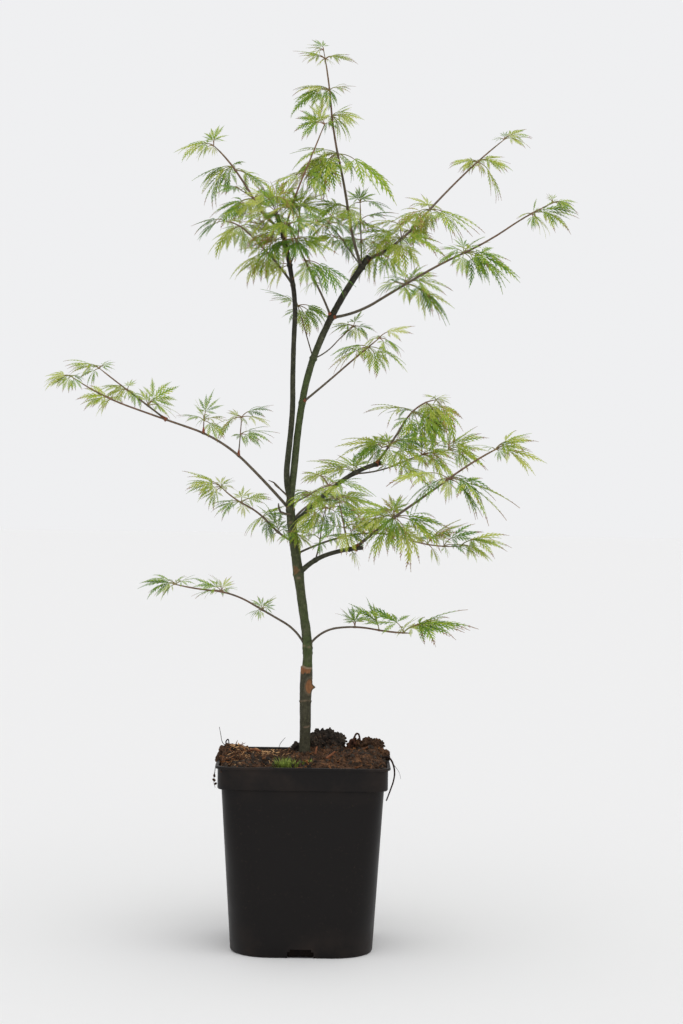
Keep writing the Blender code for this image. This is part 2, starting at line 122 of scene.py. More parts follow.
# Thin twigs that the frame leaves out. They carry leaves as the limbs do.
TWIGS = [
    Limb("twig_right_flat", "bough_right_upper", 0.72, 0.139, 39, (2, 21, 4), (1.9, 1.5, 1.1)),
    Limb("twig_right_small", "leader_right", 0.0, 0.079, -52, (16, 21, 5), (1.7, 1.4, 1.1)),
    Limb("twig_right_mid_thin", "leader_right", 0.55, 0.079, 48, (17, 40, 28), (1.6, 1.3, 1.0)),
    Limb("twig_cross_thin", "leader_right", 0.55, 0.081, 117, (56, 57, 55), (1.5, 1.2, 1.0)),
    Limb("twig_top_short", "leader_right", 0.95, 0.078, 95, (70, 69, 70), (1.9, 1.6, 1.3)),
    Limb("twig_top_left", "leader_right", 0.95, 0.087, 122, (39, 41, 32), (1.7, 1.4, 1.1)),
    Limb("twig_upper_vertical", "leader_left", 0.82, 0.058, 15, (64, 83, 91), (1.8, 1.5, 1.2)),
    Limb("twig_lower_inner", "bough_right_lower", 0.30, 0.056, -20, (72, 84, 76), (1.6, 1.3, 1.0)),
    Limb("twig_lower_outer", "bough_right_lower", 0.82, 0.050, -150, (70, 78, 72), (1.8, 1.5, 1.2)),
    Limb("spur_far_left_outer", "bough_far_left", 0.45, 0.013, 80, (80, 88), (1.3, 1.1)),
    Limb("spur_far_left_inner", "bough_far_left", 0.29, 0.040, 40, (84, 86), (1.4, 1.2, 1.0)),
    Limb("spur_dead", "bough_left", 0.22, 0.014, 60, (40, 36), (1.2, 0.8)),
]
CUT_ENDS = ("leader_right", "leader_left", "bough_right_lower", "bough_right_upper", "spur_dead")
PATH_STEPS = 48                # steps in a limb's computed centre line

# Sprays of leaves, by the limb they sit on. `at` is the share of the limb's length, and `kind`
# says which tints a spray is dealt. A leaf is its heading, its lift above level, the length of its
# middle lobe in millimetres and, if that matters, how far its upper side leans to the front.
# `shoots` is the number of side shoots with leaves of their own.
Spray = namedtuple("Spray", "at kind leaves shoots", defaults=(0,))
SPRAYS = {
    "bough_top": (
        Spray(1.00, "young", ((198, -26, 14, 40), (180, 8, 17, 25), (140, 64, 15, 20))),
        Spray(0.96, "young", (
            (182, 10, 26, 10), (178, 16, 23, 18), (-2, 12, 28, 10), (3, 6, 24, 18), (-150, -40, 9),
            (-40, -38, 9), (95, 8, 14))),
        Spray(0.82, "grown", (
            (183, 5, 32, 25), (190, -10, 31, 40), (203, -33, 37, 18), (-3, 4, 21, 20), (95, 10, 28),
            (-140, -60, 24), (-95, -66, 20))),
        Spray(0.70, "young", (
            (-2, 12, 28, 35), (4, 30, 19, 30), (-6, -6, 24, 35), (-12, -46, 29, 15),
            (-30, -60, 26, 10), (100, 0, 26))),
        Spray(0.53, "young", (
            (183, -8, 46, 18), (192, -28, 46, 25), (-150, -56, 46), (-120, -64, 42),
            (-135, -62, 36), (175, -20, 44), (-5, -36, 63, 8), (-12, -50, 30, 10), (100, -12, 34))),
        Spray(0.28, "grown", (
            (182, 6, 40, 20), (178, 12, 34, 25), (195, -18, 34, 20), (-90, -25, 28), (90, 0, 30))),
    ),
    "bough_upper_pale": (
        Spray(1.00, "young", (
            (165, 50, 26, 75), (186, 4, 26, 70), (168, 22, 23, 65), (60, 10, 20))),
        Spray(0.55, "young", (
            (188, -24, 28, 20), (-150, -50, 28), (-20, -40, 28, 20), (100, 5, 28),
            (10, 12, 22, 40))),
        Spray(0.25, "bronze", (
            (10, -5, 34, 20), (-80, -25, 32), (100, 0, 32), (190, -8, 32, 20), (60, 50, 24)), 1),
    ),
    "bough_upper_left": (
        Spray(1.00, "young", (
            (60, 64, 24, 30), (120, 56, 18, 20), (182, -6, 34, 30), (178, 4, 27, 40),
            (192, -30, 20, 20), (-100, -48, 13))),
        Spray(0.72, "grown", (
            (183, -13, 38, 0), (187, -32, 38, 18), (195, -52, 44, 18), (-110, -66, 26),
            (90, -5, 32))),
        Spray(0.68, "young", ((-4, -18, 36, 20), (-10, -32, 36, 25), (60, 0, 22))),
        Spray(0.38, "bronze", (
            (188, -30, 40, 25), (200, -46, 38, 25), (215, -56, 32), (-90, -45, 34), (90, 0, 34),
            (0, 8, 32, 20), (40, 30, 26)), 1),
    ),
    "bough_upper_left_back": (
        Spray(1.00, "grown", ((183, -12, 32, 0), (196, -24, 30, 10), (60, -5, 20))),
        Spray(0.80, "grown", (
            (190, -38, 40, 25), (206, -50, 30, 20), (-60, -52, 28), (0, -10, 28, 30),
            (100, 0, 30))),
        Spray(0.38, "young", (
            (190, -30, 38, 18), (203, -46, 36, 18), (225, -60, 28), (-90, -62, 28), (-40, -50, 28),
            (183, 8, 30, 20), (80, 0, 30), (30, 20, 30))),
    ),
    "leader_left": (
        Spray(1.00, "bronze", (
            (180, -14, 38, 25), (160, 30, 36, 20), (0, 24, 34, 25), (-90, -30, 34), (90, 64, 34),
            (105, 50, 36, 10), (-45, -40, 34), (185, -30, 36)), 1),
        Spray(0.92, "bronze", (
            (186, 6, 38, 30), (196, -18, 36, 30), (206, -42, 36, 30), (-20, -30, 32, 20),
            (-100, -50, 30))),
        Spray(0.82, "young", ((186, -8, 30, 20), (205, -40, 30, 20))),
    ),
    "twig_upper_vertical": (
        Spray(1.00, "grown", (
            (10, 44, 30, 20), (150, 46, 28, 20), (70, 60, 26), (-80, 66, 24), (-90, -22, 28)), 1),
        Spray(0.45, "deep", ((5, -6, 32, 20), (185, -8, 32, 20), (-90, -25, 28))),
    ),
    "bough_crossing": (
        Spray(1.00, "bronze", ((-90, -30, 28), (196, -26, 34, 20), (6, 6, 36, 20)), 1),
        Spray(0.85, "deep", ((184, -24, 32, 25), (0, -12, 36, 25), (-70, -48, 30), (30, 20, 28))),
        Spray(0.62, "deep", ((-6, -28, 46, 12), (-22, -54, 34, 20), (-70, -62, 26), (70, -5, 28))),
        Spray(0.38, "grown", ((185, -30, 16, 0), (-10, -30, 14))),
    ),
    "twig_top_left": (
        Spray(1.00, "deep", (
            (188, 0, 40, 20), (180, 14, 34, 25), (-10, 2, 28, 30), (100, 5, 30), (-90, -24, 30),
            (-140, -30, 30)), 1),
        Spray(0.60, "deep", (
            (190, -12, 36, 30), (-10, -22, 24, 20), (90, 0, 28), (-90, -40, 18),
            (-20, -58, 22)), 1),
    ),
    "twig_top_short": (
        Spray(1.00, "deep", (
            (95, 74, 16), (-90, 60, 14), (30, 60, 13, 20), (0, 34, 16, 40), (180, 36, 16, 40),
            (-6, -12, 27, 10), (190, -26, 20, 0))),
        Spray(0.72, "deep", (
            (-3, 8, 33, 8), (-8, -22, 24, 10), (175, 4, 20), (-90, -48, 18), (-140, -52, 18),
            (90, 0, 24))),
        Spray(0.42, "deep", ((-8, -26, 24, 30), (-60, -60, 22), (190, -20, 18), (90, 0, 22))),
    ),
    "bough_upper_right_steep": (
        Spray(0.98, "young", (
            (3, 20, 26, 40), (8, 36, 20, 30), (-3, 0, 27, 25), (50, 50, 12), (184, -5, 11, 0))),
        Spray(0.79, "young", (
            (186, 0, 27, 20), (196, -20, 19), (-2, 6, 31, 20), (-5, -10, 32, 30),
            (-14, -40, 38, 12), (-60, -48, 16), (80, 12, 26), (186, -8, 22, 30))),
        Spray(0.43, "young", (
            (192, -34, 41, 20), (200, -32, 38, 25), (150, 52, 15, 20), (-130, -60, 32),
            (-95, -62, 30), (-60, -60, 22), (-6, -22, 50, 24), (-12, -36, 46, 18), (90, 16, 34))),
        Spray(0.22, "young", (
            (179, 10, 50, 15), (188, -10, 44, 20), (198, -30, 38, 30), (-8, -24, 44, 20),
            (0, 8, 32, 20), (-90, -55, 40), (-45, -55, 34), (-130, -60, 36), (90, 0, 36),
            (140, 0, 34)), 2),
        Spray(0.08, "grown", (
            (-110, -50, 32), (-60, -50, 30), (-20, -40, 30, 20), (198, -44, 34, 20),
            (190, -28, 28))),
    ),
    "bough_upper_right_long": (
        Spray(0.34, "deep", (
            (190, -24, 18, 10), (10, 20, 30, 20), (24, 44, 26), (-4, -18, 46, 20),
            (-7, -28, 46, 20), (-16, -40, 46, 16), (-75, -60, 20), (90, 16, 30), (-2, 4, 38, 30),
            (100, 56, 22)), 1),
        Spray(0.60, "grown", (
            (184, -8, 26, 20), (176, 10, 22, 20), (100, 58, 18), (-2, -2, 40, 25),
            (-5, -26, 50, 40), (-11, -34, 46, 18), (-10, -58, 34, 50), (-100, -62, 24), (70, 5, 34),
            (6, 34, 24, 20))),
        Spray(0.90, "young", (
            (-3, 2, 36, 25), (-20, -40, 24), (-80, -60, 16), (184, -8, 14, 0), (70, 0, 26),
            (-4, -14, 36, 15))),
        Spray(0.99, "young", (
            (-5, -12, 23, 15), (-8, 0, 21, 20), (-8, -8, 18, 30), (150, 44, 8), (100, 60, 9),
            (10, -6, 16))),
    ),
    "bough_right_middle": (
        Spray(0.86, "grown", (
            (-4, -14, 38, 25), (-20, -44, 27, 30), (-80, -60, 20), (182, -16, 38, 10),
            (192, -24, 34, 20), (90, -5, 28))),
        Spray(1.00, "young", (
            (2, 6, 27, 25), (-6, -18, 28, 20), (100, 20, 18), (-30, -50, 22), (198, -20, 22))),
    ),
    "twig_right_mid_thin": (
        Spray(0.95, "grown", (
            (184, -14, 24, 15), (200, -40, 18), (60, 62, 18, 10), (-60, -46, 20, 30),
            (-10, -10, 22, 30), (-130, -50, 18), (90, 5, 16), (186, 4, 20))),
    ),
    "twig_cross_thin": (
        Spray(0.88, "grown", (
            (170, 34, 32, 0), (184, 4, 26, 0), (-12, -44, 32, 30), (-28, -62, 32, 30),
            (0, -18, 34, 0), (-100, -62, 22))),
    ),
    "bough_far_left": (
        Spray(0.99, "grown", (
            (182, 2, 27, 20), (195, -14, 24, 30), (-110, -50, 18), (-60, -60, 16), (100, 10, 14),
            (10, 5, 12), (184, -10, 20, 20))),
        Spray(0.82, "young", (
            (184, 8, 29, 30), (196, -12, 24, 25), (210, -45, 18), (90, 5, 26), (60, 50, 12))),
    ),
    "bough_far_left_upper": (
        Spray(0.99, "grown", (
            (178, 10, 30, 25), (183, 6, 28, 25), (204, -36, 22), (20, 34, 14, 10), (90, 10, 22))),
        Spray(0.57, "young", (
            (179, 12, 28, 10), (195, -12, 22), (-30, -32, 22, 20), (60, 60, 13, 20), (-90, -35, 14),
            (100, 5, 24))),
        Spray(0.27, "grown", (
            (4, 40, 30, 80), (140, 50, 18, 30), (0, 28, 22, 30), (-8, -8, 27, 20), (85, 10, 24))),
    ),
    "spur_far_left_outer": (
        Spray(1.00, "grown", (
            (176, 18, 23, 10), (20, 66, 25, 40), (-6, 4, 20, 20), (-20, -30, 24, 25), (110, 60, 20),
            (90, 10, 18))),
    ),
    "spur_far_left_inner": (
        Spray(1.00, "grown", (
            (190, -28, 32, 8), (0, 24, 28, 14), (-4, 0, 28, 12), (90, 5, 22), (170, 20, 12))),
        Spray(0.55, "grown", ((-3, 0, 33, 18), (-12, -22, 24, 20), (90, 0, 18))),
    ),
    "bough_left": (
        Spray(1.00, "young", (
            (178, 14, 34, 20), (183, 4, 31, 25), (194, -20, 28, 22), (205, -48, 22, 15),
            (40, 46, 16, 20), (110, 50, 14), (80, 5, 24))),
        Spray(0.72, "grown", (
            (188, -12, 28, 18), (182, 2, 28, 15), (4, 12, 26, 20), (-60, -58, 16), (70, 60, 20),
            (95, 0, 24))),
        Spray(0.43, "grown", (
            (200, -30, 25, 15), (-50, -58, 24, 20), (-2, 14, 28, 15), (90, -5, 20), (40, 44, 20))),
        Spray(0.20, "grown", ((172, 52, 28, 10), (120, 56, 24), (10, 22, 18), (205, -40, 14, 0))),
    ),
    "bough_low_left": (
        Spray(0.41, "grown", (
            (120, 62, 16), (30, 50, 17), (195, -20, 15), (90, 20, 12), (0, 25, 12),
            (-120, -40, 12))),
        Spray(0.69, "grown", (
            (176, 20, 25, 20), (183, 2, 27, 18), (40, 56, 18), (140, 58, 17), (0, 14, 16),
            (90, 10, 18))),
        Spray(0.98, "grown", (
            (180, 6, 30, 18), (182, 6, 30, 25), (-4, 10, 18, 20), (190, -10, 26, 20),
            (205, -34, 18), (85, 20, 16))),
    ),
    "bough_low_right": (
        Spray(0.50, "deep", ((100, 60, 22, 10), (178, 56, 22, 0), (70, 50, 18, 10))),
        Spray(0.72, "deep", ((150, 62, 27, 10), (174, 48, 34, 10))),
        Spray(0.94, "deep", (
            (-2, 20, 34, 22), (-4, 12, 58, 14), (-6, 2, 62, 12), (168, 38, 42, 10), (75, 32, 24),
            (-4, 14, 40, 25))),
    ),
    "bough_right_upper_shoot": (
        Spray(1.00, "young", (
            (100, 24, 10, 20), (168, 28, 14, 20), (-5, 22, 14, 10), (-60, -58, 38, 22),
            (-14, -62, 46, 24), (-110, -60, 32, 25), (40, 0, 16))),
        Spray(0.86, "young", ((-12, -54, 42, 28), (-30, -64, 36, 20), (-70, -70, 24))),
        Spray(0.66, "grown", (
            (186, 2, 44, 8), (184, 4, 24, 20), (-110, -60, 32), (-8, -36, 46, 25),
            (-14, -50, 50, 25), (-60, -66, 42), (60, -10, 32))),
        Spray(0.23, "grown", (
            (179, 1, 48, 12), (186, -10, 42, 20), (-150, -45, 30), (150, 50, 18, 10), (95, 50, 16),
            (-3, 2, 44, 20), (0, 16, 36, 20), (-12, -24, 44, 25), (-90, -48, 34), (90, 0, 36)), 1),
    ),
    "bough_right_upper": (
        Spray(0.74, "young", (
            (182, 9, 42, 18), (176, 23, 32, 20), (184, 6, 38, 18), (60, 50, 20, 20), (115, 54, 26),
            (90, 30, 26))),
    ),
    "twig_right_flat": (
        Spray(1.00, "grown", (
            (0, 22, 38, 24), (-3, 0, 37, 25), (-5, -2, 38, 28), (-10, -20, 30, 25), (60, 60, 18),
            (90, 10, 26))),
        Spray(0.72, "grown", (
            (-80, -42, 20), (175, 10, 30, 20), (-8, -18, 40, 15), (-20, -42, 34, 20),
            (-3, 0, 32, 20), (0, 18, 30, 25), (100, 50, 20))),
        Spray(0.40, "grown", ((-7, -20, 44, 15), (160, 6, 22), (-3, 0, 36, 15))),
    ),
    "twig_right_small": (
        Spray(0.88, "young", (
            (-3, -4, 42, 18), (60, 30, 20), (-60, -30, 26), (186, -24, 22, 15)), 1),
        Spray(0.45, "young", ((0, 5, 30, 20), (60, 30, 20), (-60, -30, 26), (186, -24, 22, 15))),
    ),
    "twig_lower_outer": (
        Spray(1.00, "young", ((0, -10, 22), (190, -34, 12))),
        Spray(0.45, "grown", (
            (185, -10, 30, 20), (-4, 10, 32, 30), (-10, -18, 30, 20), (-80, -52, 26),
            (-4, -6, 32, 20))),
    ),
    "twig_lower_inner": (
        Spray(1.00, "grown", (
            (186, -25, 34, 25), (205, -45, 34, 25), (-90, -62, 32), (-15, -38, 32, 25), (90, 0, 28),
            (-140, -55, 32)), 1),
        Spray(0.40, "grown", ((186, 6, 28, 20), (-6, -4, 28, 20), (-80, -60, 16, 0))),
    ),
    "bough_right_lower_shoot": (
        Spray(0.28, "grown", (
            (95, 58, 25, 10), (60, 50, 22, 15), (120, 44, 22, 10), (179, 12, 46, 20),
            (184, 0, 44, 25), (192, -20, 40, 20), (-4, -12, 46, 16), (-8, -24, 48, 18),
            (-22, -52, 52, 14), (208, -50, 40, 14), (-110, -66, 28), (-60, -64, 31, 10),
            (-90, -20, 32), (70, -5, 36), (120, -5, 34))),
        Spray(0.65, "deep", (
            (184, 2, 50, 22), (188, -16, 44, 15), (-3, -18, 42, 14), (-4, -29, 65, 12),
            (-12, -42, 42, 15), (-100, -60, 24), (80, -5, 34))),
        Spray(0.95, "young", (
            (-2, 6, 32, 25), (-6, -12, 37, 20), (3, 26, 30, 12), (2, 14, 32, 30), (-30, -30, 16),
            (180, 10, 12, 0))),
    ),
    "bough_right_lower": (
        Spray(0.82, "grown", ((-14, -62, 18, 0), (-10, -50, 13))),
    ),
    "bough_right_thin": (
        Spray(0.80, "bronze", (
            (174, 30, 22, 10), (0, 36, 38, 18), (-2, 20, 40, 15), (-14, -60, 22, 0), (90, 30, 26))),
        Spray(0.90, "bronze", ((0, 28, 40, 20), (-8, -10, 32, 18), (-60, -60, 12), (90, 25, 24))),
        Spray(1.00, "young", ((-2, 14, 44, 16), (-4, 3, 41, 18), (-8, -13, 31, 18), (60, 10, 24))),
    ),
    "bough_back": (
        Spray(0.98, "grown", (
            (70, 0, 40), (20, 5, 36), (120, 5, 36), (-20, -15, 30), (180, 5, 30)), 2),
        Spray(0.66, "grown", ((60, 10, 30), (150, 5, 30)), 1),
    ),
    "trunk": (
        Spray(0.89, "grown", ((-60, -30, 22), (-110, -20, 24), (-30, -40, 26), (20, 30, 20))),
    ),
}

# Which sprays are joined in which piece, by how the limb's name starts, and the masses they fill.
LEAF_PIECES = {
    "leaves_crown": ("bough_top", "bough_upper_pale", "bough_upper_left", "leader_left",
                     "twig_upper", "bough_crossing", "twig_top"),
    "leaves_upper_right": ("bough_upper_right", "bough_right_middle", "twig_right_mid",
                           "twig_cross"),
    "leaves_left": ("bough_far_left", "spur_far_left", "bough_left", "bough_low_left"),
    "leaves_lower_right": ("bough_right", "bough_low_right", "twig_right", "twig_lower",
                           "bough_back", "trunk"),
}
MASSES = {
    "leaves_crown": ("top", "top_middle", "top_lower", "top_inner", "upper_left_tip", "upper_left",
                     "left_back", "crown_middle", "crown_lower", "crossing"),
    "leaves_upper_right": ("right_mid", "upper_right_inner", "upper_right_middle",
                           "upper_right_tip", "steep_inner", "steep_middle", "steep_outer",
                           "steep_tip"),
    "leaves_left": ("far_left_tip", "far_left_upper", "far_left_fork", "far_left_middle",
                    "far_left_inner", "left_tip", "left_inner", "low_left"),
    "leaves_lower_right": ("low_right", "fork_front", "right_middle", "right_lower_inner",
                           "right_thin", "right_lower_middle", "right_lower_tip",
                           "right_upper_inner", "right_upper_tip", "back"),
}

# Tints by the names of their settings, and the shares in which each kind of spray is dealt them.
TINTS = ("spring", "fresh", "mid", "deep", "pale", "bronze", "tip")
DEALS = {
    "young": (5, 5, 2, 0.5, 2, 0.6),
    "grown": (3, 5, 5, 2, 1, 0.3),
    # Sprays that sit deep in the crown are dealt the darker greens as painted shade.
    "deep": (1, 3, 5, 4, 0, 0),
    "bronze": (2, 2, 3, 2, 0.5, 4.5),
}
# For each tint, the number of the tint that a few of its lobules are dealt instead: a darker one as
# painted shade and a lighter one as painted highlight, standing in for light falling unevenly
# across the lobes, and tone that differs at random.
DARKER = (1, 2, 3, 3, 0, 2, 5)
LIGHTER = (4, 0, 1, 2, 4, 0, 0)
TIPPED_SHARE = {"young": 0.6, "grown": 0.45, "deep": 0.45, "bronze": 0.6}
DARKER_SHARE = 0.31
LIGHTER_SHARE = 0.26


# ---- settings -----------------------------------------------------------------------------------

def length(name, about, default):
    return FloatProperty(name=name, description=about, default=default, min=0.0, subtype="DISTANCE",
                         unit="LENGTH")


def colour(name, about, default):
    return FloatVectorProperty(name=name, description=about, default=default, min=0.0, max=1.0,
                               subtype="COLOR")


def angle(name, about, default):
    return FloatProperty(name=name, description=about, default=math.radians(default),
                         subtype="ANGLE", unit="ROTATION")


def amount(name, about, default, least=0.0):
    return FloatProperty(name=name, description=about, default=default, min=least)


def tally(name, about, default):
    return IntProperty(name=name, description=about, default=default, min=0)


class PotSettings(bpy.types.PropertyGroup):
    """Sizes and colours of the nursery pot"""
    height: length("Height", "Height of the pot", POT_HIGH[2])
    lip_width: length("Lip width", "Width over the turned-out lip", POT_HIGH[0] - POT_LOW[0])
    collar_width: length("Collar width", "Width over the collar", 173 * MM)
    collar_height: length("Collar height", "Height of the collar under the rim", 24.5 * MM)
    body_width: length("Body width", "Width just under the collar", 165.5 * MM)
    base_width: length("Base width", "Width at the foot", 147 * MM)
    wall: length("Wall", "Thickness of the plastic", 1.2 * MM)
    slot_width: length("Slot width", "Width of the drain slot in each side's foot", 27 * MM)
    slot_height: length("Slot height", "Height of the drain slot", 9 * MM)
    plastic: colour("Plastic", "Colour of the plastic", (0.0072, 0.0058, 0.0056))
    dust: colour("Dust", "Colour of the dried splashes", (0.040, 0.028, 0.022))


class CompostSettings(bpy.types.PropertyGroup):
    """Look of the compost and what lies on it"""
    seed: tally("Seed", "Deals out crumbs and fibres", 11)
    crumbs: tally("Crumbs", "Crumbs for each square metre", 52000)
    fibres: tally("Fibres", "Fibres for each square metre", 12000)
    chips: tally("Chips", "Bark chips for each square metre", 2600)
    peat: colour("Peat", "Colour of the damp peat", (0.034, 0.022, 0.015))
    warm_peat: colour("Warm peat", "Colour of the warmer patches", (0.125, 0.067, 0.040))
    fibre: colour("Fibre", "Colour of the rusty fibres", (0.275, 0.130, 0.060))
    straw: colour("Straw", "Colour of the pale fibres", (0.64, 0.39, 0.190))
    chip: colour("Chip", "Colour of the bark chips", (0.34, 0.145, 0.050))
    moss: colour("Moss", "Colour of the moss", (0.33, 0.41, 0.065))
    moss_shade: colour("Moss shade", "Colour of the shaded moss", (0.105, 0.165, 0.028))


class BarkSettings(bpy.types.PropertyGroup):
    """Colours and relief of trunk, leaders and shoots"""
    relief: length("Relief", "Depth of the trunk's furrows", 0.45 * MM)
    rootstock: colour("Rootstock", "Bark below the graft", (0.060, 0.056, 0.033))
    scion: colour("Scion", "Green bark above the graft", (0.064, 0.092, 0.026))
    dark: colour("Dark bark", "Old dark bark of the leaders", (0.017, 0.012, 0.012))
    shoot: colour("Shoot", "Red-brown bark of the young shoots", (0.220, 0.122, 0.078))
    pale: colour("Pale shoot", "Bark of the pale shoot", (0.30, 0.150, 0.095))
    wound: colour("Wound", "Callus and cut wood", (0.19, 0.078, 0.030))


class LeafSettings(bpy.types.PropertyGroup):
    """Shape and tints of the cut leaves"""
    seed: tally("Seed", "Deals out tints and small turns", 5)
    size: amount("Size", "Scale of every leaf", 1.0, 0.1)
    droop: angle("Droop", "How far a lobe's end hangs", 31)
    petiole: amount("Petiole", "Stalk, as a share of the middle lobe", 0.32)
    spring: colour("Spring green", "Yellow-green of young leaves", (0.445, 0.500, 0.082))
    fresh: colour("Fresh green", "Commonest green", (0.330, 0.436, 0.060))
    mid: colour("Mid green", "Green of grown leaves", (0.236, 0.360, 0.047))
    # Painted shade: the darker green dealt to leaves deep in the crown.
    deep: colour("Deep green", "Green of shaded leaves", (0.126, 0.243, 0.039))
    pale: colour("Pale green", "Palest leaves", (0.51, 0.545, 0.150))
    bronze: colour("Bronze", "Bronzed leaves", (0.350, 0.270, 0.078))
    tip: colour("Tips", "Reddened ends of lobes", (0.285, 0.165, 0.075))


class StageSettings(bpy.types.PropertyGroup):
    """Camera, floor and light"""
    camera_place: FloatVectorProperty(name="Camera", description="Where the camera stands",
                                      default=(0.0355, -2.089, 0.4533), subtype="XYZ",
                                      unit="LENGTH")
    camera_roll: angle("Roll", "Turn of the camera about its view", -0.8)
    lens: amount("Lens", "Focal length in millimetres on a 36 mm frame", 69.9, 1.0)
    floor_radius: length("Floor", "Radius of the floor", 40.0)
    floor: colour("Floor colour", "Pale floor", (0.86, 0.86, 0.865))
    sky: colour("Backdrop", "Pale surroundings that the camera sees", (0.865, 0.868, 0.88))
    fill: amount("Fill", "Light from all round", 0.74)
    key: amount("Key", "Strength of the soft overhead light", 0.95)


# ---- shared helpers -----------------------------------------------------------------------------

def step_at(count, share):
    """The last of `count` evenly spread entries before a share of the way, and how far past it."""
    place = min(max(share, 0.0), 1.0) * (count - 1)
    first = min(int(place), count - 2)
    return first, place - first


def spread(values, share):
    """Value at a share of the way along a tuple whose entries are evenly spread."""
    first, past = step_at(len(values), share)
    return values[first] + (values[first + 1] - values[first]) * past


def point_along(line, share):
    """Point at a share of the way along a line of evenly spaced points."""
    first, past = step_at(len(line), share)
    return line[first].lerp(line[first + 1], past)


def bend(points, share):
    """A smooth curve through a few points, by blending neighbouring parabolas."""
    i, t = step_at(len(points), share)
    before = points[max(i - 1, 0)]
    one = points[i]
    two = points[i + 1]
    after = points[min(i + 2, len(points) - 1)]
    return (one * 2 + (two - before) * t + (before * 2 - one * 5 + two * 4 - after) * t * t
            + (one * 3 - before - two * 3 + after) * t ** 3) * 0.5


def direction(turn, rise):
    """The way that points along a compass turn and a rise above level, both in radians."""
    flat = math.cos(rise)
    return Vector((flat * math.cos(turn), flat * math.sin(turn), math.sin(rise)))


def centre_line(limb, start):
    """Follow a limb's heading and rises from its start, in equal steps."""
    turn = math.radians(limb.heading)
    step = limb.length / PATH_STEPS
    line = [start.copy()]
    for i in range(PATH_STEPS):
        rise = math.radians(spread(limb.rises, (i + 0.5) / PATH_STEPS))
        line.append(line[-1] + direction(turn, rise) * step)
    return line


def limb_lines():
    """The centre line of every limb and twig, by name."""
    lines = {}
    for limb in LIMBS + TWIGS:
        if limb.parent is None:
            start = Vector((0, 0, SEAT))
        else:
            start = point_along(lines[limb.parent], limb.at)
        lines[limb.name] = centre_line(limb, start)
    return lines


LINES = limb_lines()


def step_up(value):
    """Smooth step from 0 to 1 as value goes from 0 to 1."""
    held = np.clip(value, 0.0, 1.0)
    return held * held * (3.0 - 2.0 * held)


def add_object(name, mesh):
    thing = bpy.data.objects.new(name, mesh)
    bpy.context.scene.collection.objects.link(thing)
    return thing


def mesh_of(name, shape, *materials):
    """Turn a finished bmesh into a mesh."""
    mesh = bpy.data.meshes.new(name)
    shape.to_mesh(mesh)
    shape.free()
    for material in materials:
        mesh.materials.append(material)
    return mesh


def clear_away(*things):
    for thing in things:
        bpy.data.objects.remove(thing, do_unlink=True)


def turn_out(mesh):
    """Make a closed mesh's faces point outwards."""
    shape = bmesh.new()
    shape.from_mesh(mesh)
    bmesh.ops.remove_doubles(shape, verts=shape.verts, dist=0.001 * MM)
    bmesh.ops.recalc_face_normals(shape, faces=shape.faces)
    shape.to_mesh(mesh)
    shape.free()


def hand_over(thing, slot, *nodes):
    """Hang a finished piece on the root body and hide the frame's parts that it replaces. The slot
    is not used.
    """
    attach(thing, "root")
    if nodes:
        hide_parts(*nodes)
    return thing


class NodeTree:
    """Short cuts for filling one node tree."""

    def node(self, kind, inputs=(), **settings):
        """Add a node, link its inputs or give them a value, and return its outputs."""
        made = self.tree.nodes.new(kind)
        for key, value in settings.items():
            setattr(made, key, value)
        for key, value in dict(inputs).items():
            if isinstance(value, bpy.types.NodeSocket):
                self.tree.links.new(value, made.inputs[key])
            else:
                made.inputs[key].default_value = value
        return made.outputs

    def maths(self, operation, one, other):
        return self.node("ShaderNodeMath", {0: one, 1: other}, operation=operation)["Value"]


class Finish(NodeTree):
    """One material, with short cuts for the nodes of its pattern."""

    def __init__(self, name, base, roughness, specular):
        self.material = bpy.data.materials.new(name)
        self.material.use_nodes = True
        self.tree = self.material.node_tree
        self.shader = self.tree.nodes["Principled BSDF"]
        self.shader.inputs["Base Color"].default_value = (*base, 1.0)
        self.shader.inputs["Roughness"].default_value = roughness
        self.shader.inputs["Specular IOR Level"].default_value = specular
        self.where = self.node("ShaderNodeTexCoord")["Object"]

    def set(self, label, socket):
        self.tree.links.new(socket, self.shader.inputs[label])

    def stretched(self, scale):
        return self.node("ShaderNodeMapping", {"Vector": self.where, "Scale": scale})["Vector"]

    def noise(self, scale, detail=4.0, roughness=0.55, vector=None, distortion=0.0):
        return self.node("ShaderNodeTexNoise", {
            "Vector": vector or self.where, "Scale": scale, "Detail": detail,
            "Roughness": roughness, "Distortion": distortion})["Fac"]

    def attribute(self, name):
        return self.node("ShaderNodeAttribute", attribute_name=name)["Fac"]

    def remap(self, factor, low, high, first=0.0, last=1.0):
        return self.node("ShaderNodeMapRange", {"Value": factor, "From Min": low, "From Max": high,
                                                "To Min": first, "To Max": last})["Result"]

    def mix(self, factor, one, other):
        """Blend two colours, each a plain one or a socket."""
        ends = [tone if isinstance(tone, bpy.types.NodeSocket) else (*tone, 1.0)
                for tone in (one, other)]
        return self.node("ShaderNodeMix", {"Factor": factor, 6: ends[0], 7: ends[1]},
                         data_type="RGBA")[2]

    def bump(self, height, distance, strength=1.0):
        self.set("Normal", self.node("ShaderNodeBump", {"Height": height, "Distance": distance,
                                                        "Strength": strength})["Normal"])


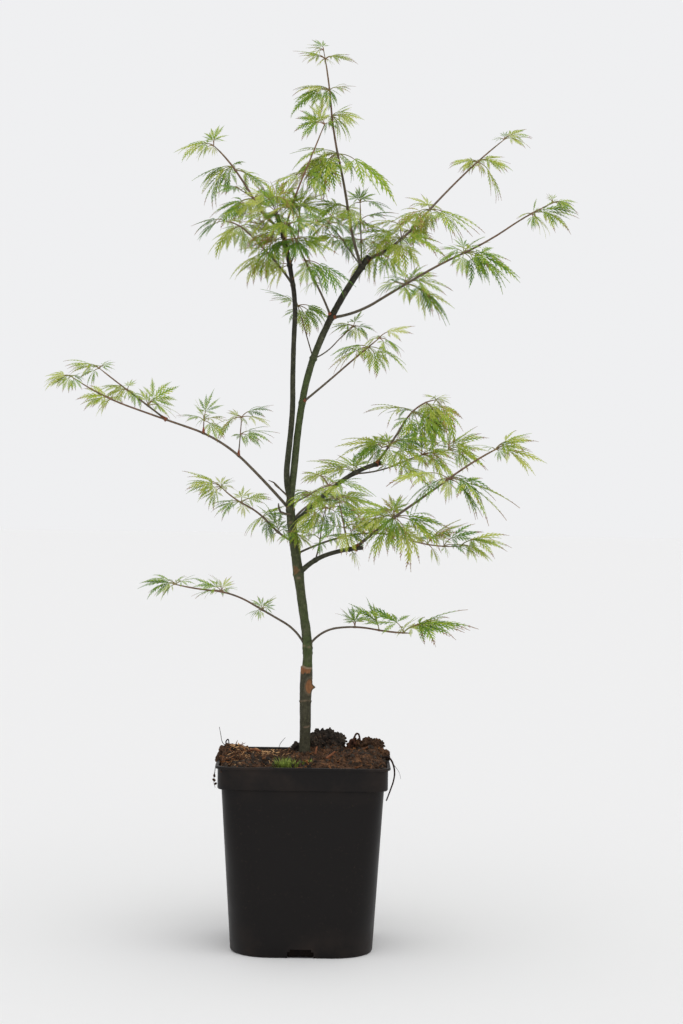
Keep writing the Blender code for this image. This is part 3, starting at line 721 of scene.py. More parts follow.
class Recipe(NodeTree):
    """A Geometry Nodes tree with named inputs, run once on a source and kept as a plain mesh."""

    def __init__(self, name, inputs):
        self.tree = bpy.data.node_groups.new(name, "GeometryNodeTree")
        sockets = self.tree.interface
        sockets.new_socket("Geometry", in_out="INPUT", socket_type="NodeSocketGeometry")
        self.names = {}
        for label, kind in inputs.items():
            made = sockets.new_socket(label, in_out="INPUT", socket_type="NodeSocket" + kind)
            self.names[label] = made.identifier
        sockets.new_socket("Geometry", in_out="OUTPUT", socket_type="NodeSocketGeometry")
        self.inputs = self.tree.nodes.new("NodeGroupInput").outputs
        self.result = self.tree.nodes.new("NodeGroupOutput").inputs["Geometry"]

    def across(self, operation, one, other):
        """Multiply or scale a vector."""
        inputs = {0: one, "Scale" if operation == "SCALE" else 1: other}
        return self.node("ShaderNodeVectorMath", inputs, operation=operation)["Vector"]

    def drawn(self, low, high, seed, data_type="FLOAT"):
        """A random value for each point or instance, from a fixed seed."""
        made = self.tree.nodes.new("FunctionNodeRandomValue")
        made.data_type = data_type
        live = [socket for socket in made.inputs if socket.enabled]
        live[0].default_value = low
        live[1].default_value = high
        self.tree.links.new(seed, made.inputs["Seed"])
        return next(socket for socket in made.outputs if socket.enabled)

    def close(self, geometry, flat=False):
        """Make the copies real, shade them and give them the material that is asked for."""
        real = self.node("GeometryNodeRealizeInstances", {"Geometry": geometry})["Geometry"]
        shaded = self.node("GeometryNodeSetShadeSmooth", {"Geometry": real,
                                                          "Shade Smooth": not flat})["Geometry"]
        painted = self.node("GeometryNodeSetMaterial", {
            "Geometry": shaded, "Material": self.inputs["Material"]})["Geometry"]
        self.tree.links.new(painted, self.result)

    def run(self, name, source, **values):
        modifier = source.modifiers.new(name, "NODES")
        modifier.node_group = self.tree
        for label, value in values.items():
            modifier[self.names[label]] = value
        graph = bpy.context.evaluated_depsgraph_get()
        mesh = bpy.data.meshes.new_from_object(source.evaluated_get(graph))
        clear_away(source)
        mesh.name = name
        return add_object(name, mesh)


def path_source(paths):
    """A wire mesh of open paths; each is a list of (place, radius, share along)."""
    mesh = bpy.data.meshes.new("paths")
    points = [row for path in paths for row in path]
    edges = []
    first = 0
    for path in paths:
        edges += [(first + i, first + i + 1) for i in range(len(path) - 1)]
        first += len(path)
    mesh.from_pydata([row[0] for row in points], edges, [])
    for label, column in (("thick", 1), ("along", 2)):
        store = mesh.attributes.new(label, "FLOAT", "POINT")
        store.data.foreach_set("value", [row[column] for row in points])
    return add_object("paths", mesh)


class Tubes(Recipe):
    """Tubes round every path, as thick as its points say, with a furrowed skin."""

    def __init__(self):
        super().__init__("bark tube", {"Sides": "Int", "Relief": "Float", "Grain": "Float",
                                       "Stretch": "Vector", "Material": "Material"})
        given = self.inputs
        curve = self.node("GeometryNodeMeshToCurve", {"Mesh": given["Geometry"]})["Curve"]
        ring = self.node("GeometryNodeCurvePrimitiveCircle", {"Resolution": given["Sides"],
                                                              "Radius": 1.0})["Curve"]
        thick = self.node("GeometryNodeInputNamedAttribute", {"Name": "thick"},
                          data_type="FLOAT")["Attribute"]
        tube = self.node("GeometryNodeCurveToMesh", {
            "Curve": curve, "Profile Curve": ring, "Scale": thick, "Fill Caps": True})["Mesh"]
        place = self.node("GeometryNodeInputPosition")["Position"]
        scaled = self.across("MULTIPLY", place, given["Stretch"])
        grain = self.node("ShaderNodeTexNoise", {"Vector": scaled, "Scale": given["Grain"],
                                                 "Detail": 3.0})["Fac"]
        depth = self.maths("MULTIPLY", self.maths("SUBTRACT", grain, 0.5), given["Relief"])
        normal = self.node("GeometryNodeInputNormal")["Normal"]
        push = self.across("SCALE", normal, depth)
        self.close(self.node("GeometryNodeSetPosition", {"Geometry": tube,
                                                         "Offset": push})["Geometry"])

    def lay(self, name, paths, material, sides, relief, grain=500.0, stretch=(1, 1, 0.3),
            carve=None):
        """Lay tubes along some paths, and carve their skin further if a way is given."""
        piece = self.run(name, path_source(paths), Sides=sides, Relief=relief, Grain=grain,
                         Stretch=stretch, Material=material)
        if carve:
            carve(piece.data)
        turn_out(piece.data)
        return piece


class Strewn(Recipe):
    """Copies of one small shape strewn over a surface, turned and sized by a fixed seed."""

    def __init__(self):
        super().__init__("strewn", {"Shape": "Object", "Density": "Float", "Seed": "Int",
                                    "Smallest": "Float", "Largest": "Float", "Roll": "Float",
                                    "Material": "Material"})
        given = self.inputs
        strewn = self.node("GeometryNodeDistributePointsOnFaces", {
            "Mesh": given["Geometry"], "Density": given["Density"], "Seed": given["Seed"]})
        shape = self.node("GeometryNodeObjectInfo", {"Object": given["Shape"]})["Geometry"]
        tilt = self.drawn((-math.pi,) * 3, (math.pi,) * 3, given["Seed"], "FLOAT_VECTOR")
        held = self.node("ShaderNodeCombineXYZ", {"X": given["Roll"], "Y": given["Roll"],
                                                  "Z": 1.0})["Vector"]
        turn = self.node("FunctionNodeEulerToRotation",
                         {"Euler": self.across("MULTIPLY", tilt, held)})["Rotation"]
        share = self.drawn(0.0, 1.0, given["Seed"])
        size = self.node("ShaderNodeMapRange", {
            "Value": self.maths("MULTIPLY", share, share), "To Min": given["Smallest"],
            "To Max": given["Largest"]})["Result"]
        copies = self.node("GeometryNodeInstanceOnPoints", {
            "Points": strewn["Points"], "Instance": shape, "Rotation": turn, "Scale": size})
        self.close(copies["Instances"], flat=True)

    def strew(self, name, ground, shape, density, seed, smallest, largest, roll, material):
        """Strew a shape over the ground, at so many for each square metre, and hand it over."""
        piece = self.run(name, ground, Shape=shape, Density=float(density), Seed=seed,
                         Smallest=smallest * MM, Largest=largest * MM, Roll=roll,
                         Material=material)
        clear_away(shape)
        hand_over(piece, "compost")


# ---- pot ----------------------------------------------------------------------------------------

BASE_CORNER = 43 * MM
BODY_CORNER = 17 * MM
RIM_CORNER = 14 * MM
COLLAR_STEP = 1.4 * MM
RING_POINTS = 192              # points round the pot and the compost
BODY_RINGS = 16
SLOT_DEPTH = 20 * MM           # how far a slot's cutting block reaches, in and out together
POT_SHARP = math.radians(40)   # edges of the pot sharper than this stay crisp
RIM_DUST = (0.155, 0.197)      # heights where the dust near the rim and the foot starts, and is
FOOT_DUST = (0.035, 0.0)       # thickest


def rounded_square(width, corner, height=0.0):
    """Evenly spaced points of a square with rounded corners, counter-clockwise from above."""
    straight = width - 2 * corner
    arc = corner * math.pi / 2
    side = straight + arc
    points = []
    for i in range(RING_POINTS):
        travelled = 4 * side * i / RING_POINTS
        quarter = int(travelled // side)
        rest = travelled - quarter * side
        if rest < straight:
            spot = Vector((width / 2, -straight / 2 + rest, height))
        else:
            swing = (rest - straight) / corner
            spot = Vector((straight / 2 + corner * math.cos(swing),
                           straight / 2 + corner * math.sin(swing), height))
        points.append(Matrix.Rotation(math.radians(90 * quarter), 3, "Z") @ spot)
    return points


def loft(rings):
    """A closed skin over rings of equal point counts, capped at both ends."""
    shape = bmesh.new()
    made = [[shape.verts.new(point) for point in ring] for ring in rings]
    for lower, upper in zip(made, made[1:]):
        count = len(lower)
        for i in range(count):
            j = (i + 1) % count
            shape.faces.new((lower[i], lower[j], upper[j], upper[i]))
    shape.faces.new(list(reversed(made[0])))
    shape.faces.new(made[-1])
    return shape


def body_section(pot, height):
    """Outer width and corner radius of the wall at a height below the collar."""
    share = height / (pot.height - pot.collar_height)
    width = pot.base_width + (pot.body_width - pot.base_width) * share
    return width, BASE_CORNER + (BODY_CORNER - BASE_CORNER) * share


def pot_rings(pot):
    """The wall's outer face from the underside up, over the lip and down the inner face."""
    step_low = pot.height - pot.collar_height
    step_high = step_low + COLLAR_STEP
    top = pot.height
    lip = pot.lip_width
    collar = pot.collar_width
    inner = collar - 2 * pot.wall
    lip_corner = RIM_CORNER + 1 * MM
    foot, corner = body_section(pot, 0)
    heights = [2 * MM + (step_low - 2 * MM) * i / BODY_RINGS for i in range(BODY_RINGS + 1)]
    # Width, corner radius and height of each ring.
    rows = [
        (foot - 16 * MM, corner - 8 * MM, 1.2 * MM),
        (foot - 13 * MM, corner - 6.5 * MM, 0.0),
        (foot - 4 * MM, corner - 2 * MM, 0.0),
        (foot - 1.2 * MM, corner - 0.6 * MM, 0.6 * MM),
        *((*body_section(pot, height), height) for height in heights),
        (pot.body_width + 0.7 * MM, BODY_CORNER, step_low + 0.25 * MM),
        (collar - 1.2 * MM, RIM_CORNER, step_high - 0.5 * MM),
        (collar, RIM_CORNER, step_high + 0.6 * MM),
        (collar, RIM_CORNER, (step_high + top) / 2),
        (collar, RIM_CORNER, top - 3.4 * MM),
        (collar + 0.8 * MM, RIM_CORNER, top - 2.9 * MM),
        (lip - 0.6 * MM, lip_corner, top - 2.7 * MM),
        (lip, lip_corner, top - 2.1 * MM),
        (lip, lip_corner, top - 0.9 * MM),
        (lip - 0.7 * MM, lip_corner, top - 0.15 * MM),
        (lip - 1.8 * MM, lip_corner, top),
        (inner + 0.9 * MM, RIM_CORNER, top - 0.2 * MM),
        (inner, RIM_CORNER, top - 1.0 * MM),
        (inner, RIM_CORNER, step_high + pot.wall),
    ]
    for height in reversed(heights):
        width, corner = body_section(pot, height)
        rows.append((width - 2 * pot.wall, corner - pot.wall, height))
    return [rounded_square(*row) for row in rows]


def slot_cutter(pot, side):
    """A block through the foot of one side, with its top corners rounded off."""
    bpy.ops.mesh.primitive_cube_add(size=1.0)
    block = bpy.context.object
    turn = Matrix.Rotation(math.radians(90 * side), 4, "Z")
    size = Matrix.Diagonal((pot.slot_width, SLOT_DEPTH, 2 * pot.slot_height, 1))
    block.data.transform(turn @ Matrix.Translation((0, -pot.base_width / 2, 0)) @ size)
    shape = bmesh.new()
    shape.from_mesh(block.data)
    tops = [edge for edge in shape.edges
            if all(vertex.co.z > 0 for vertex in edge.verts)
            and abs(edge.calc_length() - SLOT_DEPTH) < MM]
    bmesh.ops.bevel(shape, geom=tops, offset=2.5 * MM, segments=4, affect="EDGES")
    shape.to_mesh(block.data)
    shape.free()
    return block


def plastic(pot):
    """Black polythene, with dried splashes near the rim and foot and fine dusty specks in patches
    all over.
    """
    skin = Finish("black_plastic", pot.plastic, 0.42, 0.16)
    blotch = skin.noise(26.0, 5.0, 0.6)
    fine = skin.noise(420.0, 3.0, 0.6)
    height = skin.node("ShaderNodeSeparateXYZ", {"Vector": skin.where})["Z"]
    near_rim = skin.remap(height, *RIM_DUST)
    near_foot = skin.remap(height, *FOOT_DUST, 0.0, 0.8)
    level = skin.maths("MAXIMUM", near_rim, near_foot)
    patchy = skin.maths("MULTIPLY", skin.remap(blotch, 0.42, 0.72), level)
    specks = skin.remap(fine, 0.60, 0.72, 0.0, 0.55)
    dusty = skin.maths("MAXIMUM", skin.maths("MULTIPLY", patchy, 0.8),
                       skin.maths("MULTIPLY", specks, skin.remap(blotch, 0.35, 0.7)))
    skin.set("Base Color", skin.mix(dusty, pot.plastic, pot.dust))
    rough = skin.maths("ADD", dusty, skin.remap(blotch, 0.3, 0.7, 0.0, 0.4))
    skin.set("Roughness", skin.remap(rough, 0.0, 1.0, 0.36, 0.68))
    streaks = skin.noise(60.0, 3.0, 0.6, vector=skin.stretched((1.0, 1.0, 0.08)))
    skin.bump(skin.maths("ADD", skin.maths("MULTIPLY", fine, 0.35), streaks), 0.25 * MM, 0.5)
    return skin.material


class MAPLE_OT_pot(bpy.types.Operator):
    """Make the square nursery pot with its collar, lip and drain slots"""
    bl_idname = "maple.pot"
    bl_label = "Pot"

    def execute(self, context):
        pot = context.scene.maple_pot
        shape = loft(pot_rings(pot))
        bmesh.ops.recalc_face_normals(shape, faces=shape.faces)
        shell = add_object("pot_shell", mesh_of("pot_shell", shape))
        cutters = [slot_cutter(pot, side) for side in range(4)]
        for block in cutters:
            slot = shell.modifiers.new(block.name, "BOOLEAN")
            slot.operation = "DIFFERENCE"
            slot.solver = "EXACT"
            slot.object = block
        graph = context.evaluated_depsgraph_get()
        carved = bpy.data.meshes.new_from_object(shell.evaluated_get(graph))
        clear_away(shell, *cutters)
        carved.materials.clear()
        carved.materials.append(plastic(pot))
        carved.shade_smooth()
        carved.set_sharp_from_angle(angle=POT_SHARP)
        hand_over(add_object("pot_shell", carved), "pot_plastic", "pot")
        return {"FINISHED"}


# ---- compost ------------------------------------------------------------------------------------

SEAT_RADIUS = 8 * MM           # level ground round the trunk
COMPOST_RINGS = 64
HALF_TOP = (POT_HIGH[0] - POT_LOW[0]) / 2
# Heaps and dips of the compost's top in millimetres: middle, height and radius.
LUMPS = (
    (-76, -6, 13, 20), (-84, -36, 6, 18), (-45, 66, -7, 38), (-30, 30, -1, 18), (28, 16, 5, 20),
    (50, 24, 0, 16), (72, 2, 10, 18), (60, -40, 6, 26), (-52, -78, -9, 24), (-8, -80, -7, 20),
)
# Clods of old root ball, near black and brown, in millimetres: middle, and half sizes.
DARK_CLODS = (
    ((14, 24, 208), (10, 10, 13)), ((25, 25, 208), (9, 10, 12)), ((34, 27, 207), (9, 9, 11)),
    ((-8, 12, 202), (6, 6, 7)),
)
BROWN_CLODS = (
    ((54, 24, 204), (7, 6, 8)), ((66, 16, 204), (9, 10, 9)), ((75, 10, 205), (8, 10, 9)),
    ((83, -4, 198), (6, 11, 7)), ((-80, -6, 199), (8, 13, 9)), ((-86, -16, 194), (5, 17, 6)),
    ((-93.5, -10, 171), (1.1, 1.1, 1.5)), ((-92.5, -10, 167), (0.8, 0.8, 0.8)),
    ((-93.5, -9, 176), (0.6, 0.6, 0.9)),
)
# Waves in the compost's top: depth, how fine they are, and a place in the noise for each.
ROUGHNESS = ((3.4 * MM, 70, 0.0), (2.2 * MM, 190, 0.3), (1.2 * MM, 480, 0.6))


def compost_height(x, y):
    """Height of the compost's top: level at the trunk, low at the wall, lumpy between."""
    height = SEAT - 10 * MM * (max(abs(x), abs(y)) / HALF_TOP) ** 3
    for lump_x, lump_y, lump_height, radius in LUMPS:
        away = math.hypot(x - lump_x * MM, y - lump_y * MM) / (radius * MM)
        height += lump_height * MM * math.exp(-away ** 2)
    for depth, fineness, layer in ROUGHNESS:
        height += depth * noise.noise(Vector((x, y, layer)) * fineness)
    blend = min(max((math.hypot(x, y) - SEAT_RADIUS) / SEAT_RADIUS, 0.0), 1.0)
    return SEAT + (height - SEAT) * blend


def peat(name, base, warm_tone, rust):
    """Damp peat: dark crumbs among warmer ones, and some rusty fibres."""
    soil = Finish(name, base, 0.95, 0.12)
    patch = soil.noise(60.0, 5.0, 0.7)
    grain = soil.noise(650.0, 4.0, 0.7)
    threads = soil.noise(190.0, 2.0, 0.5, vector=soil.stretched((1.0, 0.25, 1.0)), distortion=1.2)
    warm = soil.mix(soil.remap(patch, 0.40, 0.62), base, warm_tone)
    rusty = soil.maths("MULTIPLY", soil.remap(threads, 0.55, 0.64), soil.remap(grain, 0.4, 0.6))
    soil.set("Base Color", soil.mix(soil.maths("MULTIPLY", rusty, 0.8), warm, rust))
    soil.bump(soil.maths("ADD", grain, soil.noise(210.0, 3.0)), 1.4 * MM, 0.9)
    return soil.material


def woody(name, base, streak):
    """Fibres and chips: a streaked base colour with darker ends."""
    chip = Finish(name, base, 0.85, 0.15)
    patch = chip.noise(90.0, 4.0, 0.7)
    fine = chip.noise(900.0, 3.0, 0.6, vector=chip.stretched((1.0, 0.3, 0.3)))
    toned = chip.mix(chip.remap(patch, 0.38, 0.62), base, streak)
    chip.set("Base Color", toned)
    chip.bump(fine, 0.3 * MM, 0.7)
    return chip.material


def crumb_shape():
    """A ragged, slightly flattened crumb."""
    bpy.ops.mesh.primitive_ico_sphere_add(subdivisions=1, radius=1.0)
    crumb = bpy.context.object
    for vertex in crumb.data.vertices:
        vertex.co *= 1.0 + 0.55 * noise.noise(vertex.co * 1.7 + Vector((3, 1, 2)))
        vertex.co.z *= 0.75
    return crumb


ROD_SIDES = 4
ROD_STEPS = 5


def bent_rod(bow, thick):
    """A thin bowed rod of unit length, thinner at its ends."""
    rings = []
    for i in range(ROD_STEPS + 1):
        share = i / ROD_STEPS - 0.5
        radius = thick * (1.0 - 2.6 * share * share)
        middle = Vector((share, bow * (4 * share * share - 1) * -0.5, bow * 0.4 * share))
        rings.append([middle + Vector((0, math.cos(turn) * radius, math.sin(turn) * radius))
                      for turn in (2 * math.pi * k / ROD_SIDES for k in range(ROD_SIDES))])
    shape = loft(rings)
    bmesh.ops.recalc_face_normals(shape, faces=shape.faces)
    return add_object("rod", mesh_of("rod", shape))


def chip_shape():
    """A splinter of bark: a thin, warped, tapering flake."""
    bpy.ops.mesh.primitive_cube_add(size=2.0)
    chip = bpy.context.object
    shape = bmesh.new()
    shape.from_mesh(chip.data)
    bmesh.ops.subdivide_edges(shape, edges=shape.edges, cuts=1, use_grid_fill=True)
    for vertex in shape.verts:
        taper = 1.0 - 0.35 * (vertex.co.x * 0.5 + 0.5)
        jag = noise.noise(vertex.co * 1.3) * 0.4
        vertex.co = Vector((vertex.co.x * (1 + jag), vertex.co.y * 0.34 * taper * (1 + jag),
                            vertex.co.z * 0.12 + 0.12 * vertex.co.x ** 2))
    shape.to_mesh(chip.data)
    shape.free()
    return chip


class MAPLE_OT_compost(bpy.types.Operator):
    """Fill the pot with lumpy compost and set the clods of old root ball on it"""
    bl_idname = "maple.compost"
    bl_label = "Compost"

    def execute(self, context):
        pot = context.scene.maple_pot
        settings = context.scene.maple_compost
        clear = pot.wall + 0.6 * MM
        shelf = pot.height - pot.collar_height
        rings = []
        for height in (1.5 * MM, 12 * MM, 0.3 * shelf, 0.6 * shelf, shelf):
            width, corner = body_section(pot, height)
            rings.append(rounded_square(width - 2 * clear, corner - clear, height))
        width = pot.collar_width - 2 * clear
        corner = RIM_CORNER - clear
        rings.append(rounded_square(width, corner, shelf + COLLAR_STEP + clear))
        for ring in range(COMPOST_RINGS):
            inward = 1.0 - ring / COMPOST_RINGS
            rings.append([Vector((p.x, p.y, compost_height(p.x, p.y)))
                          for p in rounded_square(width * inward, corner * inward)])
        shape = loft(rings)
        # Faces low inside the pot, seen only through the drain slots, take a near-black peat:
        # painted shade.
        for face in shape.faces:
            face.material_index = int(face.calc_center_median().z < 0.6 * shelf)
        soil = peat("peat", settings.peat, settings.warm_peat, settings.fibre)
        painted_shade_peat = peat("peat_in_pot", (0.004, 0.003, 0.003), (0.010, 0.006, 0.004),
                      (0.012, 0.007, 0.005))
        mesh = mesh_of("compost_fill", shape, soil, painted_shade_peat)
        mesh.shade_smooth()
        hand_over(add_object("compost_fill", mesh), "compost", "compost")
        dark = peat("root_ball", (0.029, 0.024, 0.021), (0.074, 0.058, 0.046),
                    (0.155, 0.094, 0.060))
        self.add_clods("root_ball_clods", DARK_CLODS, dark)
        self.add_clods("compost_clods", BROWN_CLODS, soil)
        return {"FINISHED"}

    def add_clods(self, name, clods, material):
        """Ragged clods, furred with crumbs."""
        shape = bmesh.new()
        for number, (middle, half_sizes) in enumerate(clods):
            made = bmesh.ops.create_icosphere(shape, subdivisions=5, radius=1.0)["verts"]
            for vertex in made:
                way = vertex.co.copy()
                rough = 1.0 + 0.40 * noise.noise(way * 1.6 + Vector((number * 7, 0, 0)))
                rough += 0.26 * noise.noise(way * 4.2 + Vector((0, number * 5, 0)))
                rough += 0.13 * noise.noise(way * 9.5) + 0.05 * noise.noise(way * 21.0)
                vertex.co = [place * MM + step * (half * MM) * rough
                             for place, step, half in zip(middle, way, half_sizes)]
        mesh = mesh_of(name, shape, material)
        mesh.shade_smooth()
        hand_over(add_object(name, mesh), "compost")


def compost_surface(low, high):
    """Part of the compost's top as ground to strew things on, between shares of its half width."""
    shape = bmesh.new()
    half = HALF_TOP - 5 * MM
    bmesh.ops.create_grid(shape, x_segments=50, y_segments=50, size=1.0)
    for vertex in shape.verts:
        x = half * (low[0] + (high[0] - low[0]) * (vertex.co.x + 1) / 2)
        y = half * (low[1] + (high[1] - low[1]) * (vertex.co.y + 1) / 2)
        vertex.co = Vector((x, y, compost_height(x, y) + 0.3 * MM))
    return add_object("ground", mesh_of("ground", shape))


# Parts of the compost's top: lowest and highest corners as shares of its half width.
ALL_OVER = ((-1.0, -1.0), (1.0, 1.0))
LEFT = ((-0.95, -0.80), (-0.08, 0.35))
STRAWY = ((-0.88, -0.34), (-0.30, 0.34))
# The front-left hollow behind the lip: the extra dark crumbs strewn there are painted shade.
SHADED_FRONT_EDGE = ((-0.90, -0.95), (0.10, -0.52))
DAMP = ((0.30, -0.40), (0.95, 0.30))
HEAP = ((-1.0, -0.6), (-0.72, 0.3))
CLOD_CRUMBS = 160000           # crumbs for each square metre of a clod
# Roots: a dark one looped over the right rim with a rootlet, hairs with soil at the left, and a
# loop of bark. Each is its points in millimetres and its radius there.
ROOTS = (
    (((72, -24, 194), (84, -27, 200), (90.5, -28, 197), (94, -29, 187), (93.5, -30, 177),
      (90, -31, 166), (86, -31, 155)), 1.15),
    (((90, -28, 196), (95, -27, 190), (99, -26, 184), (101, -25, 177)), 0.25),
    (((-86, -8, 196), (-91, -9, 191), (-93.5, -9, 180), (-94, -10, 169), (-92.5, -10, 163)), 0.30),
    (((-86, -20, 196), (-91, -22, 190), (-92, -23, 182), (-93, -23, 175)), 0.25),
    (((-80, -4, 204), (-86, -3, 210), (-88, -3, 219), (-89.5, -3, 226)), 0.42),
    (((-80, -2, 204), (-82.5, -2, 210), (-80, -2, 213), (-79, -2, 207)), 0.8),
    (((-28, 30, 200), (-26, 30, 206), (-21, 30, 212)), 0.35),
)
BARK_CURL = (
    (((51, 20, 203), (51.5, 18, 211), (54, 17, 218), (57, 17, 218), (58.5, 17, 211),
      (59.5, 18, 202)), 1.4),
    (((47, 20, 198), (47.5, 18, 207), (50, 17, 212), (54, 18, 207)), 2.3),
    (((55, 20, 200), (58, 18, 206), (61, 17, 210)), 1.8),
)
WOOD_CHIPS = (
    (((23.5, -54, 201), (28, -52, 204), (32.5, -50, 207.5)), 1.7),
    (((12, -31, 202), (12.6, -30, 206.5), (13.8, -29, 210)), 1.2),
    (((-58, -20, 203), (-52, -24, 205.5), (-45, -26, 204)), 1.5),
)
STRAND_STEPS = 24


def strand(points, radius):
    """A smooth tapering path through a few points."""
    curve = [Vector(point) * MM for point in points]
    shares = [i / STRAND_STEPS for i in range(STRAND_STEPS + 1)]
    return [(bend(curve, share), radius * MM * (1.0 - 0.4 * share), share) for share in shares]


class MAPLE_OT_litter(bpy.types.Operator):
    """Strew crumbs, fibres and bark chips over the compost, and lay roots and bark on it"""
    bl_idname = "maple.litter"
    bl_label = "Litter"

    def execute(self, context):
        settings = context.scene.maple_compost
        rust = woody("rusty_fibre", settings.fibre, (0.080, 0.030, 0.014))
        straw = woody("straw_fibre", settings.straw, (0.42, 0.24, 0.120))
        chip = woody("bark_chip", settings.chip, (0.14, 0.055, 0.022))
        soil = bpy.data.materials["peat"]
        dark = bpy.data.materials["root_ball"]
        crumbs, fibres = settings.crumbs, settings.fibres
        # Name, shape, how many for each square metre, least and greatest size in millimetres,
        # how freely it rolls over, material, and ground.
        rows = (
            ("compost_crumbs", crumb_shape(), crumbs, 0.8, 2.8, 1.0, soil, ALL_OVER),
            ("dark_crumbs", crumb_shape(), crumbs * 0.35, 0.8, 3.2, 1.0, dark, ALL_OVER),
            ("compost_fibres", bent_rod(0.35, 0.045), fibres, 4, 13, 0.2, rust, ALL_OVER),
            ("straw_fibres", bent_rod(0.25, 0.060), fibres * 1.8, 3, 11, 0.16, straw, LEFT),
            ("straw_patch", bent_rod(0.25, 0.10), fibres * 7, 4, 11, 0.12, straw, STRAWY),
            ("heap_fibres", bent_rod(0.4, 0.050), fibres * 3, 5, 13, 0.35, rust, HEAP),
            # Dark crumbs, crowded thick in the front-left hollow as painted shade.
            ("edge_crumbs", crumb_shape(), crumbs * 1.5, 0.8, 2.8, 1.0, dark, SHADED_FRONT_EDGE),
            ("damp_crumbs", crumb_shape(), crumbs * 0.8, 0.8, 3.0, 1.0, dark, DAMP),
            ("compost_chips", chip_shape(), settings.chips, 1.8, 6.5, 0.15, chip, ALL_OVER),
        )
        recipe = Strewn()
        for number, (name, shape, density, least, most, roll, material, part) in enumerate(rows):
            recipe.strew(name, compost_surface(*part), shape, density, settings.seed + number,
                         least, most, roll, material)
        for name, clods, material in (("root_ball_crumbs", "root_ball_clods", dark),
                                      ("clod_crumbs", "compost_clods", soil)):
            ground = add_object("ground", bpy.data.objects[clods].data.copy())
            recipe.strew(name, ground, crumb_shape(), CLOD_CRUMBS, settings.seed, 0.5, 1.9, 1.0,
                         material)
        root = woody("root_bark", (0.040, 0.020, 0.014), (0.014, 0.009, 0.008))
        curl = woody("bark_curl", (0.150, 0.062, 0.036), (0.045, 0.022, 0.015))
        wood = woody("wood_chip", (0.27, 0.105, 0.050), (0.12, 0.052, 0.030))
        tubes = Tubes()
        # Name, strands, material, sides, depth and fineness of the grain, and its stretch.
        for name, strands, *skin in (
                ("roots", ROOTS, root, 7, 0.4 * MM, 500.0, (1, 1, 1)),
                ("bark_curl", BARK_CURL, curl, 10, 1.1 * MM, 330.0, (1, 1, 0.5)),
                ("wood_chips", WOOD_CHIPS, wood, 8, 0.5 * MM, 330.0, (1, 1, 0.5))):
            piece = tubes.lay(name, [strand(*row) for row in strands], *skin)
            hand_over(piece, "compost")
        return {"FINISHED"}


# Tufts of moss: middle and reach in millimetres, and number of blades.
MOSS_TUFTS = ((-21, -69, 10.5, 150), (-14, -67, 9, 45), (-26, -70, 7, 25), (-7, -64, 6, 24),
              (0, -62, 5, 20), (7, -60, 5, 14))
BLADE_STEPS = 3


class MAPLE_OT_moss(bpy.types.Operator):
    """Set the tuft of bright moss at the front of the compost"""
    bl_idname = "maple.moss"
    bl_label = "Moss"

    def execute(self, context):
        settings = context.scene.maple_compost
        draw = random.Random(settings.seed)
        corners = []
        faces = []
        for x, y, reach, count in MOSS_TUFTS:
            for _ in range(count):
                self.add_blade(draw, x * MM, y * MM, reach * MM, corners, faces)
        mesh = bpy.data.meshes.new("moss")
        mesh.from_pydata(corners, [], faces)
        green = Finish("moss_green", settings.moss, 0.7, 0.3)
        patch = green.noise(260.0, 3.0)
        green.set("Base Color", green.mix(green.remap(patch, 0.35, 0.65), settings.moss,
                                          settings.moss_shade))
        mesh.materials.append(green.material)
        hand_over(add_object("moss", mesh), "foliage")
        return {"FINISHED"}

    def add_blade(self, draw, x, y, reach, corners, faces):
        """One curved blade, with its foot a random way off the tuft's middle."""
        turn = draw.uniform(0, 2 * math.pi)
        off = draw.uniform(0, 0.55) * reach
        foot = Vector((x + off * math.cos(turn), y + off * math.sin(turn), 0))
        foot.z = compost_height(foot.x, foot.y) - 0.5 * MM
        lean = draw.uniform(0.15, 1.15)
        rise = reach * draw.uniform(0.6, 1.25)
        side = Vector((-math.sin(turn), math.cos(turn), 0)) * 0.45 * MM
        first = len(corners)
        for i in range(BLADE_STEPS + 1):
            share = i / BLADE_STEPS
            out = rise * math.sin(lean * share)
            place = foot + Vector((math.cos(turn) * out, math.sin(turn) * out,
                                   rise * share * math.cos(lean * share * 0.8)))
            corners.extend((place - side * (1.05 - share), place + side * (1.05 - share)))
        faces += [(a, a + 1, a + 3, a + 2) for a in range(first, first + 2 * BLADE_STEPS, 2)]


# ---- bark ---------------------------------------------------------------------------------------

TRUNK_REACH = LIMBS[0].length
TRUNK_WIDTHS = (12.2, 11.2, 11.4, 11.7, 12.0, 12.5, 12.7, 10.6, 10.1, 10.5, 9.8, 9.4, 9.6, 9.8,
                10.2, 10.3, 10.0, 9.8, 9.6, 9.4, 9.0)
# Marks on the trunk, at shares of its length. Turns are round the trunk, as headings are.
GRAFT = 0.338
GRAFT_TURN = math.radians(212)  # side on which the rootstock stands proud of the scion
RING_SCAR = 0.208
LOW_SCAR = 0.105
NODE_SCARS = ((0.425, -70), (0.43, -130), (0.435, -10), (0.705, -95), (0.735, -60), (0.93, -100))
WOUND = 0.268                  # pruning wound
WOUND_TURN = math.radians(-55)
WOUND_HALF_HEIGHT = 7.8 * MM
WOUND_HALF_WIDTH = 4.2 * MM
SNAG = WOUND - 0.004           # stub of a lost shoot beside the wound
SNAG_TURN = math.radians(-8)
KNOT = 0.72                    # where the lowest thick bough leaves the trunk
GNARL = 0.738                  # brown gnarl on the front, over that bough's foot
GNARL_TURN = math.radians(-115)


def nodes_of(limb):
    """Shares of a limb's length where leaves or side shoots leave it."""
    shares = [spray.at for spray in SPRAYS.get(limb.name, ())]
    shares += [child.at for child in LIMBS + TWIGS if child.parent == limb.name]
    return shares


